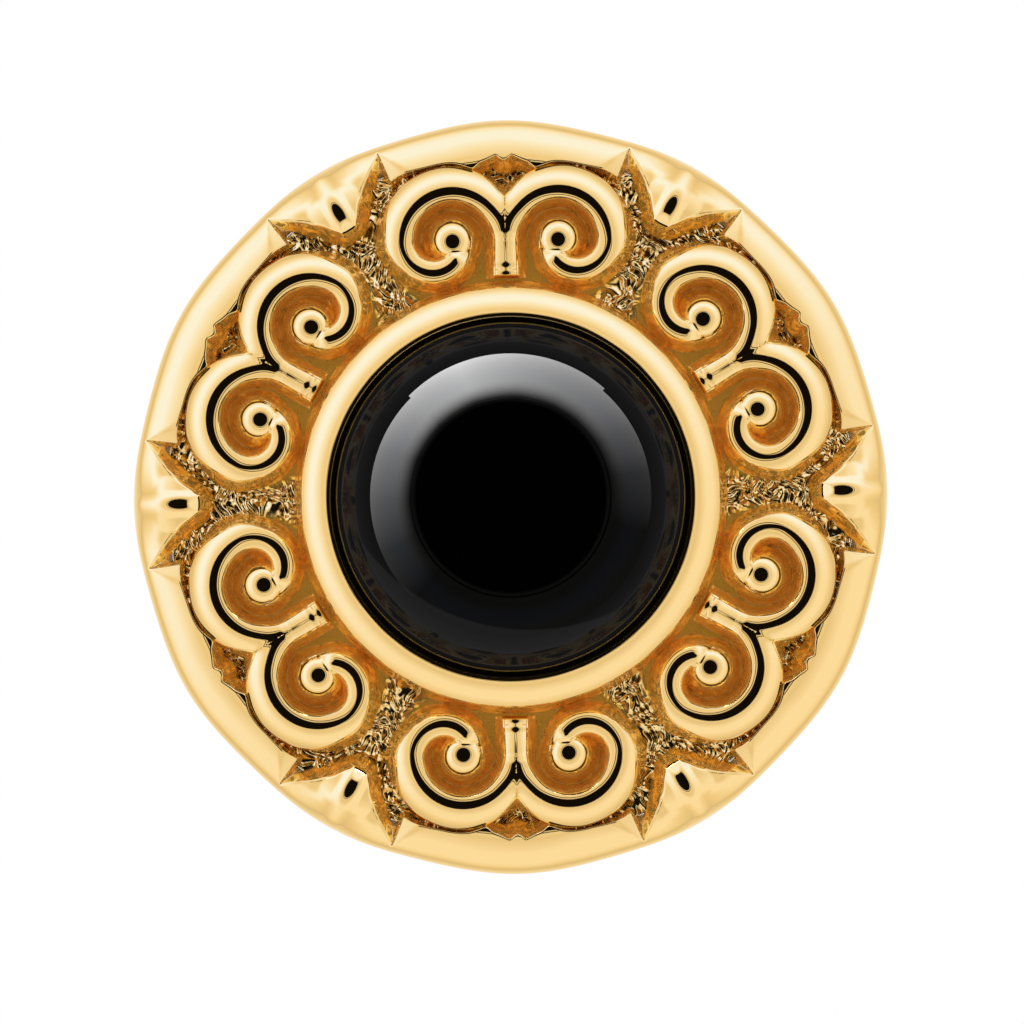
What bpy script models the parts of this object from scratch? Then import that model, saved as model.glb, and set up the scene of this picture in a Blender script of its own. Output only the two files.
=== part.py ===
"""A round-faced gold ring: a black onyx cabochon in a bezel, ringed by six pairs of ram's-horn scrolls.

The finger runs along Y through the origin, and the face looks up along +Z. The setting is worked out
from the stone outwards: stone, bezel, scrolls, rim. Run it with blender --background --python part.py.
"""

from math import atan2, cos, pi, radians, sin, sqrt

import bmesh
import bpy
import numpy as np

MM = 0.001

# Stone and bezel
STONE_DIAMETER = 12.0 * MM
STONE_DOME = 3.15 * MM
STONE_GIRDLE = 1.45 * MM
STONE_BASE_BEVEL = 0.3 * MM
STONE_LIFT = 0.05 * MM
BEZEL_WALL = 1.23 * MM
BEZEL_INNER_SLOPE = 0.33 * MM
BEZEL_LIP = 0.55 * MM
BEZEL_LIP_WIDTH = 0.05 * MM
BEZEL_CROWN = 0.06 * MM
BEZEL_FLARE = 0.3 * MM
BEZEL_FLARE_EDGE = 0.05 * MM
BEZEL_STAND = 1.68 * MM
BEARING_WALL = 1.3 * MM

# Scroll pairs
SCROLL_PAIRS = 6
SCROLL_HEIGHT = 1.1 * MM
SCROLL_FOOT = 0.1 * MM
BEAD_LIFT = 0.024 * MM
SCROLL_CROWN = 0.21 * MM
BEAD_CROWN = 0.36 * MM
HOOK_DIP = 0.48 * MM
WAIST_GAP = 0.56 * MM

# Rim and plates
RIM_WALL = 1.285 * MM
RIM_ROUND = 1.75 * MM
RIM_STAND = 0.85 * MM
RIM_BELLY = 1.5 * MM
RIM_BASE_INSET = 0.45 * MM
RIM_BASE_WALL = 0.65 * MM
RIM_WAVE = 0.055 * MM
TONGUE_TIP = 0.62 * MM
NOTCH_EDGE = 0.26 * MM
POCKET_EDGE = 1.05 * MM
DOME_RADIUS = 120.0 * MM
GROUND_THICKNESS = 0.7 * MM
GROUND_RISE = 0.25 * MM
BACK_THICKNESS = 0.9 * MM

# Shank
FINGER_BORE = 17.3 * MM
SHANK_THICKNESS = 1.8 * MM
SHANK_WIDTH = 4.0 * MM
SHOULDER_WIDTH = 11.0 * MM
TABLE_THICKNESS = 1.45 * MM
TABLE_LENGTH = 16.4 * MM

# Solder seam left between pieces
SEAM = 0.06 * MM

# Scroll outline, in parts of the coil's ridge radius
EYE_OFFSET = 1.04
SECOND_CENTRE = 0.37
STEM_LENGTH = 0.764
V_SPREAD = 0.03
V_PLACE = 0.17
COIL_INNER_EDGE = 0.79
STEM_TAPER = 0.035
COIL_WIDTH = 0.45
COIL_WIDTH_AT_V = 0.25
COIL_WIDTH_FREE = 0.30
INNER_WALL = 0.18
OUTER_WALL = 0.23
OUTER_WALL_AT_RIM = 0.02
OUTER_WALL_AT_BEAD = 0.10
HOOK_CLOSING = 0.08
HOOK_INNER_CLOSING = 0.03
HOOK_EDGE = 0.815
HOOK_END_EDGE = 0.745
BEAD_EDGE = 0.345
BEAD_FOOT = 0.48
COIL_OUTER_FOOT = 1 + COIL_WIDTH + OUTER_WALL_AT_RIM

# Steepest slopes, rise over run
SCROLL_SLOPE = 0.78
STEM_SLOPE = 0.45
BEAD_SLOPE = 0.95
BEZEL_SLOPE = 0.72
STEM_FALL = 0.4

# Shape of the cabochon's dome: how flat its top is and how round its side
CABOCHON_FLAT = 2.6
CABOCHON_ROUND = 0.8

# Angles
HALF_PITCH = pi / SCROLL_PAIRS
NOTCH_ANGLE = 0.35 * HALF_PITCH
POCKET_ANGLE = 0.17 * HALF_PITCH
HOOK_START = radians(90)
HOOK_NARROWS = radians(140)
HOOK_TIGHTENS = radians(190)
HOOK_DIPS = radians(228)
HOOK_END = radians(270)
TONGUE_LEAN = radians(30)

# Faceting
TURN_STEPS = 60
SHANK_STEPS = 60

# Stone outwards: every radius follows from the stone
STONE_RADIUS = STONE_DIAMETER / 2
BEZEL_BORE = STONE_RADIUS + SEAM
BEZEL_RADIUS = BEZEL_BORE + BEZEL_WALL
STEM_GAP = BEZEL_FLARE + SEAM
COIL = (((BEZEL_RADIUS + STEM_GAP) * sin(HALF_PITCH) - WAIST_GAP / 2)
        / (EYE_OFFSET * cos(HALF_PITCH) + COIL_OUTER_FOOT - STEM_LENGTH * sin(HALF_PITCH)))
EYE_X = EYE_OFFSET * COIL
EYE_Y = BEZEL_RADIUS + STEM_GAP + STEM_LENGTH * COIL
EYE_RADIUS = sqrt(EYE_X**2 + EYE_Y**2)
EYE_ANGLE = atan2(EYE_X, EYE_Y)
SCALLOP = COIL_OUTER_FOOT * COIL + SEAM
FACE_RADIUS = EYE_RADIUS + SCALLOP + RIM_WALL
RIM_BASE_RADIUS = FACE_RADIUS - RIM_BASE_INSET
RIM_BORE = RIM_BASE_RADIUS - RIM_BASE_WALL
PLATE_RADIUS = RIM_BORE - SEAM
RIM_CREST_RADIUS = FACE_RADIUS - RIM_ROUND

# Heights above the head's base
GROUND_EDGE = BACK_THICKNESS + GROUND_RISE + GROUND_THICKNESS
RIM_CREST = GROUND_EDGE + RIM_STAND
HEAD_BASE = FINGER_BORE / 2 + TABLE_THICKNESS + SEAM


def ground_height(radius):
    """Height of the domed ground at a distance from the head's axis: a sphere through the rim's bore."""
    return GROUND_EDGE + np.sqrt(DOME_RADIUS**2 - radius**2) - sqrt(DOME_RADIUS**2 - RIM_BORE**2)


BEZEL_CREST = float(ground_height(BEZEL_RADIUS)) + BEZEL_STAND
STONE_EDGE = BEZEL_CREST + STONE_LIFT
STONE_BASE = STONE_EDGE - STONE_GIRDLE


def clear_scene():
    for thing in list(bpy.data.objects):
        bpy.data.objects.remove(thing, do_unlink=True)


def finish(name, colour, roughness, metallic):
    material = bpy.data.materials.new(name)
    material.use_nodes = True
    shader = material.node_tree.nodes["Principled BSDF"]
    shader.inputs["Base Color"].default_value = (*colour, 1)
    shader.inputs["Roughness"].default_value = roughness
    shader.inputs["Metallic"].default_value = metallic
    return material


def add_object(name, mesh, material, parent=None):
    thing = bpy.data.objects.new(name, mesh)
    bpy.context.collection.objects.link(thing)
    thing.parent = parent
    if material and material.name not in mesh.materials:
        mesh.materials.append(material)
    return thing


def add_empty(name, height):
    empty = bpy.data.objects.new(name, None)
    empty.location.z = height
    bpy.context.collection.objects.link(empty)
    return empty


def finish_mesh(mesh):
    """Points the faces outwards and shades them smooth, with a crease where the turn is sharp."""
    shape = bmesh.new()
    shape.from_mesh(mesh)
    bmesh.ops.remove_doubles(shape, verts=shape.verts, dist=1e-7)
    bmesh.ops.recalc_face_normals(shape, faces=shape.faces)
    shape.to_mesh(mesh)
    shape.free()
    mesh.shade_smooth()
    mesh.set_sharp_from_angle(angle=radians(38))
    return mesh


def loft(name, rings, closed):
    """Joins rings of points, one after another, into a skin. An open loft is capped at both ends."""
    count, around = rings.shape[:2]
    index = np.arange(count * around).reshape(count, around)
    after = np.roll(index, -1, axis=1)
    steps = count if closed else count - 1
    following = np.roll(index, -1, axis=0)
    quads = np.stack([index, after, np.roll(following, -1, axis=1), following], axis=-1)[:steps]
    faces = quads.reshape(-1, 4).tolist()
    if not closed:
        faces += [index[0].tolist(), index[-1].tolist()]
    mesh = bpy.data.meshes.new(name)
    mesh.from_pydata(rings.reshape(-1, 3).tolist(), [], faces)
    return mesh


def turned(name, profile, material, parent):
    """A piece turned about Z from a closed profile of radius and height."""
    turn = np.linspace(0, 2 * pi, TURN_STEPS, endpoint=False)
    radius, height = np.array(profile).T
    rings = np.stack([np.outer(np.cos(turn), radius), np.outer(np.sin(turn), radius),
                      np.broadcast_to(height, (TURN_STEPS, len(height)))], axis=-1)
    return add_object(name, finish_mesh(loft(name, rings, closed=True)), material, parent)


def roof(distance, slope, crown):
    """Drop from a ridge: slope times (the root of distance squared plus crown squared, less the crown)."""
    return slope * (np.sqrt(distance**2 + crown**2) - crown)


def make_shank(material):
    """The band: narrow and thin under the finger, swelling to shoulders and a flat table under the head."""
    bore = FINGER_BORE / 2
    table = bore + TABLE_THICKNESS
    table_angle = atan2(TABLE_LENGTH / 2, table)
    edge_radius = table / cos(table_angle)
    turn = np.linspace(-pi, pi, SHANK_STEPS, endpoint=False)
    turn = np.sort(np.concatenate([turn, [-table_angle, table_angle]]))
    away = np.clip((np.abs(turn) - table_angle) / (pi - table_angle), 0, 1)
    on_table = np.abs(turn) <= table_angle + 1e-9
    outer = bore + SHANK_THICKNESS + (edge_radius - bore - SHANK_THICKNESS) * (1 - away)**3
    outer = np.where(on_table, table / np.cos(np.where(on_table, turn, 0)), outer)
    half_width = SHANK_WIDTH / 2 + (SHOULDER_WIDTH - SHANK_WIDTH) / 2 * (1 - away)**2
    round_over = np.clip(away / 0.25, 0, 1) * (outer - bore)
    side = np.array([-0.82, 0.82, 1, 1, 0.62, 0, -0.62, -1, -1])
    inside = np.array([1, 1, 0.88, 0, 0, 0, 0, 0, 0.88])
    rounding = np.array([0, 0, 0, 0.5, 0.14, 0, 0.14, 0.5, 0])
    radius = (bore * (inside > 0) + np.outer(outer, inside == 0)
              + np.outer(outer - bore, np.where(inside > 0, 1 - inside, 0)) - np.outer(round_over, rounding))
    rings = np.stack([radius * np.sin(turn)[:, None], np.outer(half_width, side),
                      radius * np.cos(turn)[:, None]], axis=-1)
    return add_object("shank", finish_mesh(loft("shank", rings, closed=True)), material)


def make_back_plate(material, head):
    bevel = BACK_THICKNESS * 0.25
    profile = [(0, BACK_THICKNESS), (PLATE_RADIUS, BACK_THICKNESS), (PLATE_RADIUS, bevel),
               (PLATE_RADIUS - bevel, 0), (0, 0)]
    return turned("back_plate", profile, material, head)


def make_ground_plate(material, head):
    """The domed sheet that the scrolls stand on, with a hole for the bezel."""
    radius = np.linspace(BEZEL_RADIUS + SEAM, PLATE_RADIUS, 3)
    top = ground_height(radius)
    profile = list(zip(radius, top)) + list(zip(radius[::-1], top[::-1] - GROUND_THICKNESS))
    return turned("ground_plate", profile, material, head)


def make_bezel(material, head):
    """The collar: a bevel down to the stone, a narrow crest, a broad slope and a wall with a flared foot."""
    base = BACK_THICKNESS + SEAM
    crest_radius = BEZEL_BORE + BEZEL_INNER_SLOPE
    flank = (BEZEL_RADIUS - crest_radius) * np.array([0, 0.15, 0.45, 1])
    slope = BEZEL_CREST - roof(flank, BEZEL_SLOPE, BEZEL_CROWN)
    foot_radius = BEZEL_RADIUS + np.array([0.25, 1, 1, 0]) * BEZEL_FLARE
    foot = ground_height(foot_radius) + SEAM + np.array([BEZEL_FLARE, BEZEL_FLARE_EDGE, 0, 0])
    lip_radius = crest_radius - BEZEL_LIP_WIDTH
    lip = BEZEL_CREST - roof(BEZEL_LIP_WIDTH, BEZEL_SLOPE, BEZEL_CROWN)
    profile = list(zip(crest_radius + flank, slope)) + list(zip(foot_radius, foot)) + [
        (BEZEL_RADIUS, base), (BEZEL_BORE, base), (BEZEL_BORE, BEZEL_CREST - BEZEL_LIP), (lip_radius, lip)]
    return turned("bezel_collar", profile, material, head)


def make_bearing(material, head):
    """The seat ring soldered inside the bezel, which the stone rests on."""
    outer = BEZEL_BORE - SEAM
    inner = outer - BEARING_WALL
    base = BACK_THICKNESS + SEAM
    top = STONE_BASE - SEAM
    profile = [(outer, top), (outer, base), (inner, base), (inner, top)]
    return turned("bezel_bearing", profile, material, head)


def make_stone(material, head):
    """A cabochon: flat base, upright girdle and a dome that is flatter on top than a sphere."""
    spread = np.sin(np.linspace(0, pi / 2, 8))
    dome = STONE_EDGE + STONE_DOME * (1 - spread**CABOCHON_FLAT)**CABOCHON_ROUND
    profile = list(zip(STONE_RADIUS * spread, dome))
    profile += [(STONE_RADIUS, STONE_BASE + STONE_BASE_BEVEL), (STONE_RADIUS - STONE_BASE_BEVEL, STONE_BASE),
                (0, STONE_BASE)]
    return turned("onyx_cabochon", profile, material, head)


def scallop_radius(angle):
    """Where the rim's wall stands round a coil, by angle from the pair's axis: a circle about the eye."""
    turn = np.abs(angle) - EYE_ANGLE
    across = np.clip(SCALLOP**2 - (EYE_RADIUS * np.sin(turn))**2, 0, None)
    return EYE_RADIUS * np.cos(turn) + np.sqrt(across)


def rim_wall(angle):
    """Radius of the rim's inner edge by angle from the nearest pair's axis, up to half a pitch.

    A pocket over the pair's axis, a scallop round the coil, then a notch and a straight-sided tongue.
    """
    from_tongue = HALF_PITCH - angle
    tip = RIM_CREST_RADIUS - TONGUE_TIP
    notch = FACE_RADIUS - NOTCH_EDGE
    tongue = tip + (notch - tip) * from_tongue / NOTCH_ANGLE
    pocket_top = FACE_RADIUS - POCKET_EDGE
    corner = scallop_radius(np.array(POCKET_ANGLE))
    pocket = pocket_top + (corner - pocket_top) * angle / POCKET_ANGLE
    return np.where(angle < POCKET_ANGLE, pocket,
                    np.where(from_tongue > NOTCH_ANGLE, scallop_radius(angle), tongue))


def rim_angles():
    """Section angles over one pitch, closest where the wall turns a corner."""
    notch = HALF_PITCH - NOTCH_ANGLE
    sliver = NOTCH_ANGLE * 0.02
    half = np.concatenate([
        np.linspace(0, POCKET_ANGLE, 3),
        np.linspace(POCKET_ANGLE, notch - sliver, 7)[1:],
        np.linspace(notch + sliver, HALF_PITCH, 6),
    ])
    return np.concatenate([half, 2 * HALF_PITCH - half[-2:0:-1]])


def make_rim(material, head):
    """The rounded outer border, cut inside into scallops, pockets, notches and tongues."""
    one_pitch = rim_angles()
    turn = np.concatenate([one_pitch + 2 * HALF_PITCH * k for k in range(SCROLL_PAIRS)])
    from_pair = np.abs((turn + HALF_PITCH) % (2 * HALF_PITCH) - HALF_PITCH)
    wall = rim_wall(from_pair)
    crest = RIM_CREST_RADIUS
    wave = RIM_WAVE * np.cos(2 * SCROLL_PAIRS * turn)
    belly = FACE_RADIUS + wave

    def top(radius):
        beyond = np.clip((radius - crest) / RIM_ROUND, 0, 1)
        before = np.clip((crest - radius) / TONGUE_TIP, 0, 1)
        return RIM_BELLY + (RIM_CREST - RIM_BELLY) * np.sqrt(1 - beyond**2) - 0.3 * RIM_STAND * before**2

    floor_radius = np.minimum(wall, FACE_RADIUS - NOTCH_EDGE)
    floor = ground_height(np.minimum(floor_radius, RIM_BORE)) + SEAM
    columns = [(np.full_like(turn, RIM_BORE), np.zeros_like(turn)),
               (np.full_like(turn, RIM_BORE), np.full_like(turn, float(ground_height(RIM_BORE)) + SEAM)),
               (wall, floor)]
    begin = np.arcsin(np.clip((wall - crest) / RIM_ROUND, -1, 1))
    begin = np.where(wall < crest, -TONGUE_LEAN, begin)
    for step in np.linspace(0, 1, 5)[:-1]:
        lean = begin + (pi / 2 - begin) * step
        beyond = crest + RIM_ROUND * np.sin(lean)
        short = crest - (crest - wall) * np.clip(-lean / TONGUE_LEAN, 0, 1)
        radius = np.where(lean < 0, short, beyond)
        columns.append((radius + wave * np.clip(beyond - crest, 0, None) / RIM_ROUND, top(radius)))
    columns += [(belly, np.full_like(turn, RIM_BELLY)), (RIM_BASE_RADIUS + wave, np.zeros_like(turn))]
    radius = np.stack([c[0] for c in columns], axis=1)
    height = np.stack([c[1] for c in columns], axis=1)
    rings = np.stack([radius * np.sin(turn)[:, None], radius * np.cos(turn)[:, None], height], axis=-1)
    return add_object("outer_rim", finish_mesh(loft("outer_rim", rings, closed=True)), material, head)


def bump(value, start, end):
    """A smooth step from 0 at start to 1 at end."""
    t = np.clip((value - start) / (end - start), 0, 1)
    return t * t * (3 - 2 * t)


def scroll_plan(turn):
    """Centre, ridge, edges and feet of the scroll along the ray at each turn, counted from straight out.

    Up to a quarter turn the centre is the eye and the ridge is a circle, which opens out at the V. After
    that it is the second centre, and the ridge closes in on the bead.
    """
    hook = turn > HOOK_START + 1e-9
    share = np.clip((turn - HOOK_START) / (HOOK_END - HOOK_START), 0, 1)
    at_v = -np.degrees(turn)
    leaving = bump(turn, HOOK_START / 2, HOOK_START)
    centre = np.where(hook, EYE_X + SECOND_CENTRE * COIL, EYE_X)
    coil_ridge = 1 + V_SPREAD * bump(at_v, 45, 75)
    ridge = np.where(hook, 1 - SECOND_CENTRE - HOOK_CLOSING * bump(share, 0, 1), coil_ridge)
    inner_edge = np.where(hook, COIL_INNER_EDGE - SECOND_CENTRE + HOOK_INNER_CLOSING * share,
                          COIL_INNER_EDGE + STEM_TAPER * bump(at_v, 55, 90))
    width = (COIL_WIDTH + (COIL_WIDTH_AT_V - COIL_WIDTH) * bump(at_v, 8, 64)
             + (COIL_WIDTH_FREE - COIL_WIDTH) * leaving)
    hook_start = 1 + COIL_WIDTH_FREE - SECOND_CENTRE
    hook_edge = (hook_start + (HOOK_EDGE - hook_start) * bump(turn, HOOK_START, HOOK_NARROWS)
                 + (HOOK_END_EDGE - HOOK_EDGE) * bump(turn, HOOK_TIGHTENS, HOOK_END))
    outer_edge = np.where(hook, hook_edge, ridge + width)
    free = np.maximum(bump(at_v, 20, 55), leaving)
    wall = (OUTER_WALL_AT_RIM + (OUTER_WALL - OUTER_WALL_AT_RIM) * free
            + (OUTER_WALL_AT_BEAD - OUTER_WALL) * bump(turn, HOOK_DIPS, HOOK_END))
    parts = (ridge, inner_edge, inner_edge - INNER_WALL, outer_edge, outer_edge + wall)
    return centre, [part * COIL for part in parts]


def stem_drop(y):
    """How far the stem's crest has dropped between the V of the horns and the bezel."""
    return STEM_FALL * np.clip(EYE_Y + V_PLACE * COIL - y, 0, None)


def scroll_rings():
    """Rings of the half scroll on the +X side: points from outer foot to inner foot, then the underside."""
    coil = np.linspace(-HOOK_START, HOOK_START, 13)
    turn = np.concatenate([coil, np.linspace(HOOK_START, HOOK_END, 12)[1:]])
    centre, (ridge, inner_edge, inner_foot, outer_edge, outer_foot) = scroll_plan(turn)
    leaning = turn < -0.02
    axis = np.where(leaning, centre / np.sin(np.where(leaning, -turn, pi / 2)), 2 * outer_foot)
    ridge = np.minimum(ridge, axis)
    middle = (outer_edge + ridge) / 2
    along = np.stack([outer_foot, outer_edge, middle, ridge, inner_edge, inner_foot], axis=1)
    along = np.minimum(along, axis[:, None])
    x = centre[:, None] + along * np.sin(turn)[:, None]
    y = EYE_Y + along * np.cos(turn)[:, None]
    at_stem = bump(-np.degrees(turn), 70, 90)[:, None]
    slope = SCROLL_SLOPE + (STEM_SLOPE - SCROLL_SLOPE) * at_stem
    rise = SCROLL_HEIGHT - roof(along - ridge[:, None], slope, SCROLL_CROWN) - at_stem * stem_drop(y)
    rise = rise - HOOK_DIP * bump(turn, HOOK_DIPS, HOOK_END)[:, None]
    on_foot = (along >= outer_foot[:, None] - 1e-9) | (along <= inner_foot[:, None] + 1e-9)
    rise = np.where(on_foot, SCROLL_FOOT, rise)
    stem_y = BEZEL_RADIUS + STEM_GAP + (EYE_Y - BEZEL_RADIUS - STEM_GAP) * np.array([0, 0.33, 0.67])
    stem_y = np.repeat(stem_y[:, None], x.shape[1], axis=1)
    stem_rise = np.where(on_foot[0], SCROLL_FOOT, rise[0] + stem_drop(EYE_Y) - stem_drop(stem_y))
    x = np.concatenate([np.broadcast_to(x[0], stem_y.shape), x])
    y = np.concatenate([stem_y, y])
    rise = np.concatenate([stem_rise, rise])
    x = np.where(np.abs(x) < 1e-9, 0, x)
    under = ground_height(np.hypot(x, y)) + SEAM
    top = np.stack([x, y, under + rise], axis=-1)
    bottom = np.stack([x, y, under], axis=-1)[:, [-1, 0]]
    return np.concatenate([top, bottom], axis=1)


def half_scroll_mesh(rings):
    """The skin of one half, left open where it meets its mirror image on the pair's axis."""
    mesh = loft("half_scroll", rings, closed=False)
    shape = bmesh.new()
    shape.from_mesh(mesh)
    bmesh.ops.remove_doubles(shape, verts=shape.verts, dist=1e-7)
    on_axis = [f for f in shape.faces if all(abs(v.co.x) < 1e-9 for v in f.verts)]
    bmesh.ops.delete(shape, geom=on_axis, context="FACES")
    bmesh.ops.recalc_face_normals(shape, faces=shape.faces)
    shape.to_mesh(mesh)
    shape.free()
    return mesh


def bead_mesh():
    """The round bead in the scroll's eye: a dome with a flared wall."""
    turn = np.linspace(0, 2 * pi, 14, endpoint=False)
    dome = BEAD_EDGE * COIL * np.array([1, 0.8, 0.45, 0])
    out = np.concatenate([[0, BEAD_FOOT * COIL, BEAD_FOOT * COIL], dome])
    rise = np.concatenate([[0, 0, SCROLL_FOOT], SCROLL_HEIGHT - roof(dome, BEAD_SLOPE, BEAD_CROWN)])
    x = EYE_X + np.outer(np.cos(turn), out)
    y = EYE_Y + np.outer(np.sin(turn), out)
    z = ground_height(np.hypot(x, y)) + SEAM + BEAD_LIFT + rise
    return finish_mesh(loft("bead", np.stack([x, y, z], axis=-1), closed=True))


def mirrored(thing, merge):
    modifier = thing.modifiers.new("Mirror", "MIRROR")
    modifier.use_mirror_merge = merge
    modifier.merge_threshold = 1e-6


def scroll_pair_mesh():
    """Both scrolls of a pair as one body: the mirrored tube, with its beads joined on."""
    tube = add_object("scroll_tube", half_scroll_mesh(scroll_rings()), None)
    mirrored(tube, merge=True)
    beads = add_object("scroll_beads", bead_mesh(), None)
    mirrored(beads, merge=False)
    union = tube.modifiers.new("Beads", "BOOLEAN")
    union.operation = "UNION"
    union.object = beads
    bpy.context.view_layer.update()
    graph = bpy.context.evaluated_depsgraph_get()
    mesh = bpy.data.meshes.new_from_object(tube.evaluated_get(graph))
    bpy.data.objects.remove(beads, do_unlink=True)
    bpy.data.objects.remove(tube, do_unlink=True)
    mesh.name = "scroll_pair"
    return finish_mesh(mesh)


def make_scroll_pairs(material, head):
    mesh = scroll_pair_mesh()
    for k in range(SCROLL_PAIRS):
        pair = add_object(f"scroll_pair_{k + 1}", mesh, material, head)
        pair.rotation_euler.z = -2 * HALF_PITCH * k


def main():
    clear_scene()
    gold = finish("polished_gold", (0.86, 0.58, 0.24), 0.12, 1.0)
    chased = finish("chased_gold", (0.72, 0.47, 0.19), 0.35, 1.0)
    onyx = finish("black_onyx", (0.004, 0.004, 0.004), 0.04, 0.0)
    head = add_empty("head_base", HEAD_BASE)
    make_shank(gold)
    make_back_plate(gold, head)
    make_rim(gold, head)
    make_ground_plate(chased, head)
    make_bezel(gold, head)
    make_bearing(gold, head)
    make_stone(onyx, head)
    make_scroll_pairs(gold, head)
    print(f"coil ridge radius {COIL / MM:.3f} mm, eye at {EYE_RADIUS / MM:.3f} mm, "
          f"face diameter {2 * FACE_RADIUS / MM:.2f} mm")


main()
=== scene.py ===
# %% [markdown]
# # A gold ring with scrollwork and a black cabochon
#
# The head of this ring is soldered up from few pieces: a rounded border, a chased ground, six pairs of
# curled scrolls, a bezel and its stone. Each piece is worked out here as a surface: a grid of points whose
# places come from a formula. Polished gold has no look of its own. It shows the studio, and which part of it
# a point shows depends mostly on the point's tilt. So the profiles below give tilt against distance.

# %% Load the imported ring
from math import atan2, cos, hypot, pi, radians, sin, sqrt

import bmesh
import bpy
import numpy as np
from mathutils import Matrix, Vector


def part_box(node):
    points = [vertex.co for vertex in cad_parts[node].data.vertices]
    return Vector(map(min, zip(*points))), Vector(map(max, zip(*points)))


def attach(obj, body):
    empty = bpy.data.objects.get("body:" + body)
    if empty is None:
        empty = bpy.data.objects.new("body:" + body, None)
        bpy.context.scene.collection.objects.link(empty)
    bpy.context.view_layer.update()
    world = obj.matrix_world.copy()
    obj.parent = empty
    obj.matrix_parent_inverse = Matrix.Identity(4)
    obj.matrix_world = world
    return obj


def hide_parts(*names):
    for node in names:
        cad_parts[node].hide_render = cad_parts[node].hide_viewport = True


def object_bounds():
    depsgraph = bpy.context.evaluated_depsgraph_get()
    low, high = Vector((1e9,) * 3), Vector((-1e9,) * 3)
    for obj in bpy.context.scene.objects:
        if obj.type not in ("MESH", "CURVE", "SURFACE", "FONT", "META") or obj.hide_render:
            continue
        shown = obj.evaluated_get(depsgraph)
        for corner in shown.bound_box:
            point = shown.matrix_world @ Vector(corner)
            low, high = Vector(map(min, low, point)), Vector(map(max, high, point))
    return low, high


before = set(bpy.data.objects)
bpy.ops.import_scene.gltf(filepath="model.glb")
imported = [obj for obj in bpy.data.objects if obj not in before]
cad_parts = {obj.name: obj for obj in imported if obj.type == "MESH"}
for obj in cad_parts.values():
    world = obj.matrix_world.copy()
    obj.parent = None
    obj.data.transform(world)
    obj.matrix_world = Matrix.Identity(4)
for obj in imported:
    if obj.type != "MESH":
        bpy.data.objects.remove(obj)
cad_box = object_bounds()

MM = 0.001
print("nodes in the frame:", ", ".join(sorted(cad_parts)))

# %% [markdown]
# ## Sizes
#
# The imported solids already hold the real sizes, so the radii and heights are read from their boxes. What a
# box can't tell, such as the scroll's own proportions, is written out again. Lengths are in millimetres.


# %% Read the main sizes from the frame
def node_radius(node):
    """Half the width of a node that is centred on the ring's axis, in millimetres."""
    low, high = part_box(node)
    return (high.x - low.x) / 2 / MM


def node_heights(node):
    """Lowest and highest point of a node, in millimetres above the base of the head."""
    low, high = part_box(node)
    return low.z / MM - HEAD_BASE, high.z / MM - HEAD_BASE


HEAD_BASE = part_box("back_plate")[0].z / MM
SEAM = 0.06
LOBE_SWELL = 0.055
BEZEL_FLARE = 0.3
STONE_RADIUS = node_radius("onyx_cabochon")
BEZEL_RADIUS = node_radius("bezel_collar") - BEZEL_FLARE
PLATE_RADIUS = node_radius("ground_plate")
FACE_RADIUS = node_radius("outer_rim") - LOBE_SWELL
BEZEL_BASE, BEZEL_CREST = node_heights("bezel_collar")
STONE_BASE = node_heights("onyx_cabochon")[0]
BACK_THICKNESS = node_heights("back_plate")[1]
RIM_CREST = node_heights("outer_rim")[1]
print(f"radii in mm: stone {STONE_RADIUS:.2f}, bezel {BEZEL_RADIUS:.2f}, face {FACE_RADIUS:.2f}")

# %% [markdown]
# ## Camera
#
# The photograph looks straight down on the face from far away, with the whole head inside the frame. A long
# lens keeps the near stone and the far rim at the same scale. The head lies a little above the middle of the
# picture and is turned about a degree, so the camera is moved and rolled by that much.

# %% Camera straight above the face
FRAME_WIDTH = 35.72
SENSOR_WIDTH = 36.0
LENS = 220.0
CAMERA_SHIFT = (0.035, -0.523)
CAMERA_ROLL = radians(-1.2)

lens = bpy.data.cameras.new("long_lens")
lens.lens = LENS
lens.sensor_width = SENSOR_WIDTH
lens.clip_start = 0.01
camera = bpy.data.objects.new("camera_above", lens)
camera_height = HEAD_BASE + RIM_CREST + FRAME_WIDTH * LENS / SENSOR_WIDTH
camera.location = (CAMERA_SHIFT[0] * MM, CAMERA_SHIFT[1] * MM, camera_height * MM)
camera.rotation_euler.z = CAMERA_ROLL
bpy.context.scene.collection.objects.link(camera)
bpy.context.scene.camera = camera
bpy.context.scene.view_settings.view_transform = "Standard"
print(f"camera {camera_height:.0f} mm above the finger's axis, frame {FRAME_WIDTH} mm wide")


# %% [markdown]
# ## Node helper and colours
#
# Every material below is a small node tree. One helper adds a node, sets its values and links its inputs, and
# one function turns the hex colour that a screen shows into the linear colour that the renderer works with.

# %% Helpers for node trees
def add_node(tree, kind, settings=None, **inputs):
    """Adds a node. Settings are its own properties, inputs are numbers, colours or sockets to link from."""
    node = tree.nodes.new(kind)
    for name, value in (settings or {}).items():
        setattr(node, name, value)
    for name, value in inputs.items():
        key = int(name[3:]) if name.startswith("in_") else name.replace("_", " ")
        if isinstance(value, bpy.types.NodeSocket):
            tree.links.new(value, node.inputs[key])
        else:
            node.inputs[key].default_value = value
    return node


def linear(hex_colour):
    """A screen colour such as #FFCC66 as linear red, green, blue and alpha."""
    screen = np.array([int(hex_colour[k:k + 2], 16) for k in (1, 3, 5)]) / 255
    light = np.where(screen <= 0.04045, screen / 12.92, ((screen + 0.055) / 1.055) ** 2.4)
    return (*light.tolist(), 1.0)


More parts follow.
